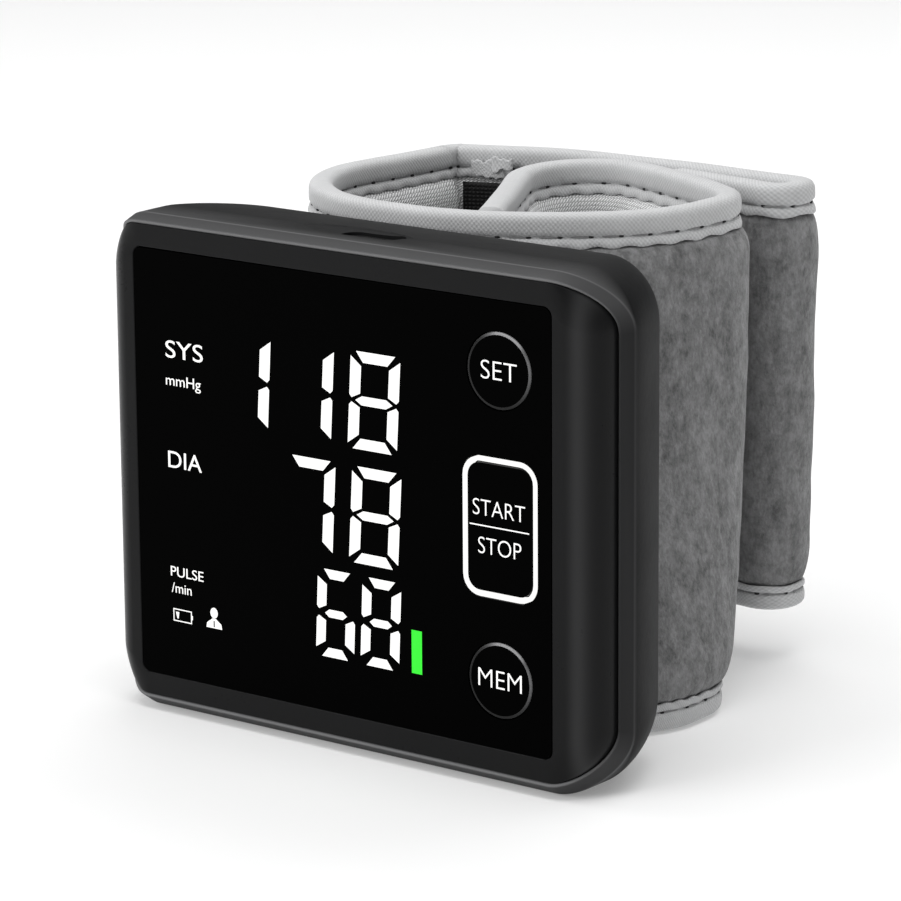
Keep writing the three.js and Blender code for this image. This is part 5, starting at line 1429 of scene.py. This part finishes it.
class MONITOR_OT_window(bpy.types.Operator):
    """Gloss panel let into the cover, with its three openings"""

    bl_idname = "monitor.window"
    bl_label = "Display window"

    def execute(self, context):
        back = PANEL_SET_BACK + PANEL_THICKNESS
        rings = [ring_at(recess_outline(-inset), PANEL_SET_BACK + depth) for inset, depth in
                 ((PANEL_EDGE, 0), (PANEL_EDGE / 3, PANEL_EDGE / 3), (0, PANEL_EDGE))]
        rings.append(ring_at(recess_outline(0), back))
        depths = (-CUT_OVERRUN, back + CUT_OVERRUN)
        steps = [*round_key_cuts(*depths),
                 ("DIFFERENCE", round_plate("seat", *RING_SEAT, *depths))]
        mesh = shaped(ring_solid("gloss_panel", rings), steps)
        add_moulding("gloss_panel", mesh, "panel_gloss", "display_window")
        return {"FINISHED"}


class MONITOR_OT_works(bpy.types.Operator):
    """Finishes of the keys and of everything inside the case"""

    bl_idname = "monitor.works"
    bl_label = "Keys and works"

    def execute(self, context):
        slots = {
            "panel_gloss": ["set_key", "mem_key", "start_stop_key"],
            # The ring's glow is painted light
            "ring_white": ["start_stop_ring"],
            "steel": ["case_screw_1", "case_screw_2", "case_screw_3", "case_screw_4",
                      "cuff_screw_1", "cuff_screw_2", "pump_motor"],
            "port_metal": ["usb_receptacle"],
            "board_green": ["main_board"],
            "part_black": ["display_mask", "set_switch", "start_stop_switch", "mem_switch",
                           "release_valve", "buzzer"],
            "light_bar": ["display_light_bars"],
            "cell_foil": ["battery_cell"],
            "natural_plastic": ["pump_head", "pressure_sensor", "cuff_stiffener"],
            "tube_rubber": ["air_tube", "air_bladder"],
        }
        for name, nodes in slots.items():
            for node in nodes:
                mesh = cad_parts[node].data
                mesh.materials.clear()
                mesh.materials.append(finish(name))
        return {"FINISHED"}


def digit_segments(x, z, width, height, lit_ones, thick, gap, lead, slant):
    """Outlines of one digit's lit segments. Order: top, upper right, lower right, bottom,
    lower left, upper left, middle. x is the foot's left edge, and lead is how far inside the
    digit its top and bottom start."""
    flat = thick * 0.82
    middle, tip = height / 2, thick * 0.22
    near, far = thick + gap, width - thick - gap
    top = [[lead, height], [width - lead, height], [far, height - flat], [near, height - flat]]
    right = [[width, height - gap * 2.2], [width - thick, height - flat - gap * 1.6],
             [width - thick, middle + flat * 0.45 + gap * 0.9], [width - tip, middle + gap * 0.9],
             [width, middle + tip + gap]]
    bar = flat * 0.42
    across = [[tip + gap * 2, middle], [near, middle + bar], [far, middle + bar],
              [width - tip - gap * 2, middle], [far, middle - bar], [near, middle - bar]]
    turned = [[[width - px, height - pz] for px, pz in outline] for outline in (top, right)]
    lower_right = [[px, height - pz] for px, pz in right]
    upper_left = [[width - px, pz] for px, pz in right]
    every = [top, right, lower_right, turned[0], turned[1], upper_left, across]
    return [[[x + px + slant * pz, z + pz] for px, pz in every[i]] for i in lit_ones]


EIGHT, ONE, SEVEN, SIX = range(7), (1, 2), (0, 1, 2), (0, 2, 3, 4, 5, 6)


def text_mesh(name, text, left, right, low, high, weight=0.0):
    """Lettering fitted to a box on the panel's front, in millimetres."""
    curve = bpy.data.curves.new(name, "FONT")
    curve.body = text
    curve.extrude = 0.02
    curve.resolution_u = 6
    curve.offset = weight
    carrier = bpy.data.objects.new(name, curve)
    bpy.context.scene.collection.objects.link(carrier)
    mesh = settled(carrier)
    points = np.array([v.co for v in mesh.vertices])
    lowest, highest = points.min(0), points.max(0)
    size = highest - lowest
    x = left + (points[:, 0] - lowest[0]) / size[0] * (right - left)
    z = low + (points[:, 1] - lowest[1]) / size[1] * (high - low)
    y = PANEL_SET_BACK + 0.01 - (points[:, 2] - lowest[2]) / size[2] * 0.03
    placed = np.stack([x, y, z], 1) * MM + np.array(DATUM)
    mesh.vertices.foreach_set("co", placed.astype(np.float32).ravel())
    mesh.update()
    return mesh


def add_plates(name, outlines, material, body=MONITOR, depths=MARK_DEPTHS):
    """Thin lit or printed plates on the panel's front."""
    add_object(name, prism_mesh(name, outlines, *depths), material, body)


class MONITOR_OT_display(bpy.types.Operator):
    """Lit digits, level bar, small icons and the marks beside them"""

    bl_idname = "monitor.display"
    bl_label = "Display"

    def execute(self, context):
        thick = context.scene.monitor_display.segment_width / MM
        large = {"width": 7.85, "height": 12.6, "thick": thick, "gap": 0.3, "lead": 0.82,
                 "slant": 0.058}
        small = {"width": 6.2, "height": 11.6, "thick": thick * 0.88, "gap": 0.5, "lead": 1.0,
                 "slant": 0.045}
        rows = [
            ("systolic_digits", [(-19.15, 6.75, ONE, large), (-8.85, 6.75, ONE, large),
                                 (1.7, 6.75, EIGHT, large)]),
            ("diastolic_digits", [(-8.85, -8.1, SEVEN, large), (1.7, -8.1, EIGHT, large)]),
            ("pulse_digits", [(-3.9, -21.3, SIX, small), (3.35, -21.3, EIGHT, small)]),
        ]
        for name, digits in rows:
            outlines = []
            for x, z, lit_ones, form in digits:
                outlines += digit_segments(x, z, lit_ones=lit_ones, **form)
            add_plates(name, outlines, "lit_and_painted_glow")
        add_plates("level_bar", [oblong(11.62, 13.25, -21.05, -15.4)], "lit_bar")
        marks = [
            ("sys_mark", "SYS", -28.25, -21.95, 14.45, 16.75),
            ("mmhg_mark", "mmHg", -28.3, -22.4, 10.35, 12.2),
            ("dia_mark", "DIA", -28.2, -22.5, -0.15, 2.05),
            ("pulse_mark", "PULSE", -28.2, -22.6, -14.8, -13.45),
            ("per_minute_mark", "/min", -28.1, -24.7, -17.0, -15.65),
        ]
        for name, text, left, right, low, high in marks:
            add_object(name, text_mesh(name, text, left, right, low, high), "lit_and_painted_glow",
                       MONITOR)
        self.icons()
        return {"FINISHED"}

    def icons(self):
        """Battery outline with its charge mark, and a person's head and shoulders."""
        wall = 0.14
        left, right, low, high = -27.9, -24.75, -20.85, -19.15
        nub, nub_inset = 0.16, 0.55
        bars = [
            oblong(left, right, low, low + wall),
            oblong(left, right, high - wall, high),
            oblong(left, left + wall, low + wall, high - wall),
            oblong(right - wall, right, low + wall, high - wall),
            oblong(right, right + nub, low + nub_inset, high - nub_inset),
            [[left + 0.42, high - 0.42], [left + 0.66, low + 0.4], [left + 0.86, low + 0.4],
             [left + 1.0, high - 0.42]],
        ]
        add_plates("battery_icon", bars, "lit_and_painted_glow")
        head = [[-20.92 + 0.62 * math.cos(a), -18.7 + 0.72 * math.sin(a)]
                for a in np.linspace(0, math.tau, 25)[:-1]]
        shoulders = [[-22.25, -20.75], [-19.6, -20.75], [-19.72, -20.1], [-20.3, -19.7],
                     [-20.62, -19.45], [-21.22, -19.45], [-21.55, -19.7], [-22.13, -20.1]]
        add_plates("user_icon", [head, shoulders], "lit_and_painted_glow")
        front, back = MARK_DEPTHS
        add_plates("user_icon_one", [oblong(-21.02, -20.82, -20.6, -19.75)], "part_black",
                   depths=(front - 0.02, back))


class MONITOR_OT_keys(bpy.types.Operator):
    """Ring grooves and lettering of the three keys"""

    bl_idname = "monitor.keys"
    bl_label = "Keys"

    def execute(self, context):
        inner, outer = ROUND_KEY_RADIUS - KEY_RIM_INSIDE, ROUND_KEY_RADIUS + KEY_RIM_OUTSIDE
        front, back = MARK_DEPTHS
        profile = [[inner, back], [inner, front]]
        profile += [[inner + (outer - inner) * math.sin(a),
                     front + KEY_RIM_RISE * (1 - math.cos(a))]
                    for a in np.linspace(0.2, math.pi / 2, 6)]
        for name, z, button in (("set_key_rim", ROUND_KEY_Z, "set_button"),
                                ("mem_key_rim", -ROUND_KEY_Z, "mem_button")):
            mesh = turned_mesh(name, KEY_COLUMN_X, z, profile)
            places = places_of(mesh)
            # Painted highlight: an arc near the top of each rim is painted lighter
            clock = np.arctan2(places[:, 0] - KEY_COLUMN_X, places[:, 2] - z)
            write_rim(mesh, np.max([light * np.exp(-((clock - middle) / spread) ** 2)
                                    for light, middle, spread in KEY_RIM_HIGHLIGHTS], axis=0))
            add_object(name, mesh, "key_rim", button)
        words = [
            ("set_lettering", "SET", 22.75, 28.2, 18.5, 20.85, "set_button"),
            ("start_lettering", "START", 21.4, 29.4, 1.15, 3.2, "start_stop_button"),
            ("stop_lettering", "STOP", 22.2, 28.8, -3.7, -1.6, "start_stop_button"),
            ("mem_lettering", "MEM", 22.1, 28.8, -20.75, -18.45, "mem_button"),
        ]
        # Painted glow: the printed lettering and line take the segments' emission, with no light
        # behind them
        for name, text, left, right, low, high, body in words:
            mesh = text_mesh(name, text, left, right, low, high, KEY_LETTER_WEIGHT)
            add_object(name, mesh, "lit_and_painted_glow", body)
        add_plates("start_stop_line", [oblong(20.9, 30.0, -0.22, -0.06)], "lit_and_painted_glow",
                   "start_stop_button")
        return {"FINISHED"}


def sew_edge_stitches(name, strap, body):
    """Threads along both bound edges of a strap, on both its sides, and dark beads painted as
    the shade in its needle holes.
    """
    looks = bpy.context.scene.monitor_cuff
    lines = [seam_line(strap, side, top) for side in (1, -1) for top in (True, False)]
    pitch, thread = looks.stitch_pitch, looks.thread
    return [
        stitches(f"{name}_stitches", lines, "thread_grey", body, "tape_grey", pitch=pitch,
                 length=pitch * STITCH_FILL, thickness=thread, height=thread, start=pitch / 2),
        # Painted shade in the needle holes
        stitches(f"{name}_needle_holes", lines, "needle_hole_shade", body, "tape_grey", pitch=pitch,
                 length=0.0008, thickness=0.00046, height=0.0004, start=0.0),
    ]


class MONITOR_OT_sleeve(bpy.types.Operator):
    """Padded sleeve of the cuff: felt, lining, bound edges, seams and the bladder inside"""

    bl_idname = "monitor.sleeve"
    bl_label = "Cuff sleeve"

    def execute(self, context):
        strap = sleeve_strap()
        felt = cuff_skin("sleeve_outer_felt", strap, 1, "felt_grey", MONITOR, 11,
                         ("sleeve_felt",))
        lining = cuff_skin("sleeve_mesh_lining", strap, -1, "mesh_grey", MONITOR, 12,
                           ("sleeve_lining",))
        top = binding("sleeve_top_tape", strap, True, MONITOR, 13, ("sleeve_top_binding",))
        low = binding("sleeve_bottom_tape", strap, False, MONITOR, 14, ("sleeve_bottom_binding",))
        extras = sew_edge_stitches("sleeve", strap, MONITOR)
        extras.append(end_tape("sleeve_end_tape", strap, MONITOR, False))
        self.bladder(strap)
        return {"FINISHED"}

    def bladder(self, strap):
        part = strap.between(*BLADDER_SHARES)
        edge = BINDING_HEIGHT + SHOULDER_TOP + BLADDER_INSET
        foot = CUFF_BOTTOM + BINDING_HEIGHT + SHOULDER_BOTTOM + BLADDER_INSET
        pillow = laid_strip("bladder_pillow", part, BLADDER_FACES, (foot, CUFF_TOP - edge),
                            "tube_rubber", MONITOR, soften=5.0, seed=31,
                            stray=0.06, replaces=("air_bladder",))


class MONITOR_OT_flap(bpy.types.Operator):
    """Folded flap of the cuff, with its hook patch and the tail of its tape"""

    bl_idname = "monitor.flap"
    bl_label = "Cuff flap"

    def execute(self, context):
        strap = flap_strap()
        felt = cuff_skin("flap_outer_felt", strap, 1, "felt_grey", FLAP, 21,
                         ("flap_felt",))
        lining = cuff_skin("flap_mesh_lining", strap, -1, "mesh_grey", FLAP, 22,
                           ("flap_lining",))
        top = binding("flap_top_tape", strap, True, FLAP, 23, ("flap_top_binding",))
        low = binding("flap_bottom_tape", strap, False, FLAP, 24, ("flap_bottom_binding",))
        extras = sew_edge_stitches("flap", strap, FLAP)
        extras += [end_tape("flap_end_tape", strap, FLAP, True), *self.tail(strap)]
        extras.append(self.hooks(strap))
        self.foam(strap)
        return {"FINISHED"}

    def hooks(self, strap):
        """The hook strip on the inner face, from the middle of the flap to the crease."""
        part = strap.between(*HOOK_SHARES)
        face = -(FLAP_HALF + 0.05)
        span = (part.low + BINDING_HEIGHT + HOOK_FOOT, CUFF_TOP - BINDING_HEIGHT - 0.5)
        return laid_strip("hook_strip", part, (face - HOOK_THICKNESS, face), span,
                          "hook_black", FLAP, seed=33, stray=0.04,
                          replaces=("hook_patch",))

    def foam(self, strap):
        part = strap.between(0.03, 0.97)
        low = part.low + BINDING_HEIGHT + SHOULDER_BOTTOM
        pad = laid_strip("flap_foam", part, (-PADDING_HALF, PADDING_HALF),
                         (low, CUFF_TOP - BINDING_HEIGHT - SHOULDER_TOP), "foam_grey", FLAP,
                         soften=1.2, seed=34, stray=0.03,
                         replaces=("flap_padding",))

    def tail(self, strap):
        """The loose end of the edge tape, crumpled where the edge turns at the crease."""
        made = []
        for name, shares, faces, drop, seed in TAILS:
            part = strap.between(*shares)
            rough, frayed = (wobble(part.along, 0 * part.along, 1.3, seed + i) for i in (1, 2))
            span = (CUFF_TOP - drop[1] - 1.1 * rough, CUFF_TOP - drop[0] + 0.9 * frayed)
            made.append(laid_strip(name, part, faces, span, "tape_grey", FLAP,
                                   soften=0.2, seed=seed, stray=0.55,
                                   replaces=("binding_tail",) if not made else ()))
        return made


class MONITOR_OT_crease(bpy.types.Operator):
    """The bend that joins the sleeve to the flap"""

    bl_idname = "monitor.crease"
    bl_label = "Cuff crease"

    def execute(self, context):
        sleeve = sleeve_strap()
        strap = crease_strap(flap_strap(), sleeve)
        made = [
            cuff_skin("crease_felt", strap, 1, "felt_grey", None, 11),
            cuff_skin("crease_lining", strap, -1, "mesh_grey", None, 12),
            binding("crease_top_tape", strap, True, None, 13),
            binding("crease_bottom_tape", strap, False, None, 14),
        ]
        start = strap.put(np.full((strap.count, 1), 1.0), np.zeros((strap.count, 1)))[:, 0]
        for piece in made:
            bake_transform(piece)
        return {"FINISHED"}


class MONITOR_OT_stage(bpy.types.Operator):
    """Pale floor, soft lights and the camera"""

    bl_idname = "monitor.stage"
    bl_label = "Stage"

    def execute(self, context):
        looks = context.scene.monitor_stage
        self.floor(context.scene, looks)
        self.lights(context.scene, looks)
        self.camera(context.scene)
        return {"FINISHED"}

    def floor(self, scene, looks):
        half = looks.floor_half
        mesh = bpy.data.meshes.new("floor")
        corners = [(x, y, FLOOR_LEVEL) for x, y in oblong(-half, half, -half, half)]
        mesh.from_pydata(corners, [], [(0, 1, 2, 3)])
        nodes = Nodes("floor")
        grain = nodes.noise(nodes.place(), 40.0)
        tint = nodes.mix(grain, rgba(looks.floor_colour, 0.99), rgba(looks.floor_colour, 1.0))
        mesh.materials.append(nodes.dress(
            Base_Color=tint, Roughness=0.9, Specular_IOR_Level=0.1,
            Emission_Color=rgba(looks.floor_colour), Emission_Strength=looks.floor_glow))
        floor = bpy.data.objects.new("floor", mesh)
        scene.collection.objects.link(floor)

    def lights(self, scene, looks):
        world = bpy.data.worlds.new("studio")
        world.use_nodes = True
        add = world.node_tree.nodes.new
        sight, parts, rise = (add(f"ShaderNode{kind}") for kind in
                              ("TexCoord", "SeparateXYZ", "MapRange"))
        rise.interpolation_type = "SMOOTHSTEP"
        rise.inputs["From Min"].default_value = 0.1
        rise.inputs["From Max"].default_value = 0.75
        rise.inputs["To Min"].default_value = looks.horizon
        rise.inputs["To Max"].default_value = looks.sky
        back = world.node_tree.nodes["Background"]
        back.inputs["Color"].default_value = (1, 1, 1, 1)
        for source, target in ((sight.outputs["Generated"], parts.inputs[0]),
                               (parts.outputs["Z"], rise.inputs["Value"]),
                               (rise.outputs[0], back.inputs["Strength"])):
            world.node_tree.links.new(source, target)
        scene.world = world
        scene.view_settings.view_transform = "Standard"
        softboxes = [
            ("key_light", (0.1, -0.15, 0.85), (0.5, 0.5), looks.key * 0.68),
            ("back_light", (-0.1, 0.5, 0.7), (0.9, 0.5), looks.key * 0.68),
            ("front_light", (-0.4, -0.85, 0.45), (0.6, 0.4), looks.key * 0.95),
            ("left_light", (-0.75, -0.2, 0.35), (0.3, 0.45), looks.key * 0.28),
        ]
        for name, place, size, power in softboxes:
            lamp = bpy.data.lights.new(name, "AREA")
            lamp.shape = "RECTANGLE"
            lamp.size, lamp.size_y = size
            lamp.energy = power
            light = bpy.data.objects.new(name, lamp)
            scene.collection.objects.link(light)
            aim = LIGHT_AIM - Vector(place)
            light.rotation_mode = "QUATERNION"
            light.rotation_quaternion = aim.to_track_quat("-Z", "Y")
            light.location = place

    def camera(self, scene):
        azimuth, elevation, roll = (math.radians(a) for a in
                                    (CAMERA_AZIMUTH, CAMERA_ELEVATION, CAMERA_ROLL))
        back = Vector((math.sin(azimuth) * math.cos(elevation),
                       -math.cos(azimuth) * math.cos(elevation), math.sin(elevation)))
        level = Vector((math.cos(azimuth), math.sin(azimuth), 0))
        upright = back.cross(level)
        right = level * math.cos(roll) + upright * math.sin(roll)
        up = upright * math.cos(roll) - level * math.sin(roll)
        data = bpy.data.cameras.new("camera")
        data.lens = CAMERA_FOCAL_PIXELS / IMAGE_PIXELS * data.sensor_width
        data.clip_start, data.clip_end = 0.05, 50
        camera = bpy.data.objects.new("camera", data)
        scene.collection.objects.link(camera)
        turn = Matrix((right, up, back)).transposed().to_4x4()
        camera.matrix_world = Matrix.Translation(at_panel(*CAMERA_FROM_PANEL)) @ turn
        scene.camera = camera


PIECES = (
    MONITOR_OT_case, MONITOR_OT_window, MONITOR_OT_works, MONITOR_OT_display, MONITOR_OT_keys,
    MONITOR_OT_crease, MONITOR_OT_sleeve, MONITOR_OT_flap, MONITOR_OT_stage,
)


class MONITOR_PT_panel(bpy.types.Panel):
    """Sizes, colours and pieces of the monitor"""

    bl_idname = "MONITOR_PT_panel"
    bl_label = "Wrist monitor"
    bl_space_type = "VIEW_3D"
    bl_region_type = "UI"
    bl_category = "Monitor"

    def draw(self, context):
        for name in ("monitor_case", "monitor_display", "monitor_cuff", "monitor_stage"):
            looks = getattr(context.scene, name)
            box = self.layout.box()
            for key in type(looks).__annotations__:
                box.prop(looks, key)
        for operator in PIECES:
            self.layout.operator(operator.bl_idname)


SETTINGS = {
    "monitor_case": CaseLooks,
    "monitor_display": DisplayLooks,
    "monitor_cuff": CuffLooks,
    "monitor_stage": StageLooks,
}


def register():
    for kind in (*SETTINGS.values(), *PIECES, MONITOR_PT_panel):
        bpy.utils.register_class(kind)
    for name, kind in SETTINGS.items():
        setattr(bpy.types.Scene, name, PointerProperty(type=kind))


def unregister():
    for name in SETTINGS:
        delattr(bpy.types.Scene, name)
    for kind in reversed((*SETTINGS.values(), *PIECES, MONITOR_PT_panel)):
        bpy.utils.unregister_class(kind)


def main():
    register()
    for operator in PIECES:
        area, name = operator.bl_idname.split(".")
        getattr(getattr(bpy.ops, area), name)()


if __name__ == "__main__":
    main()
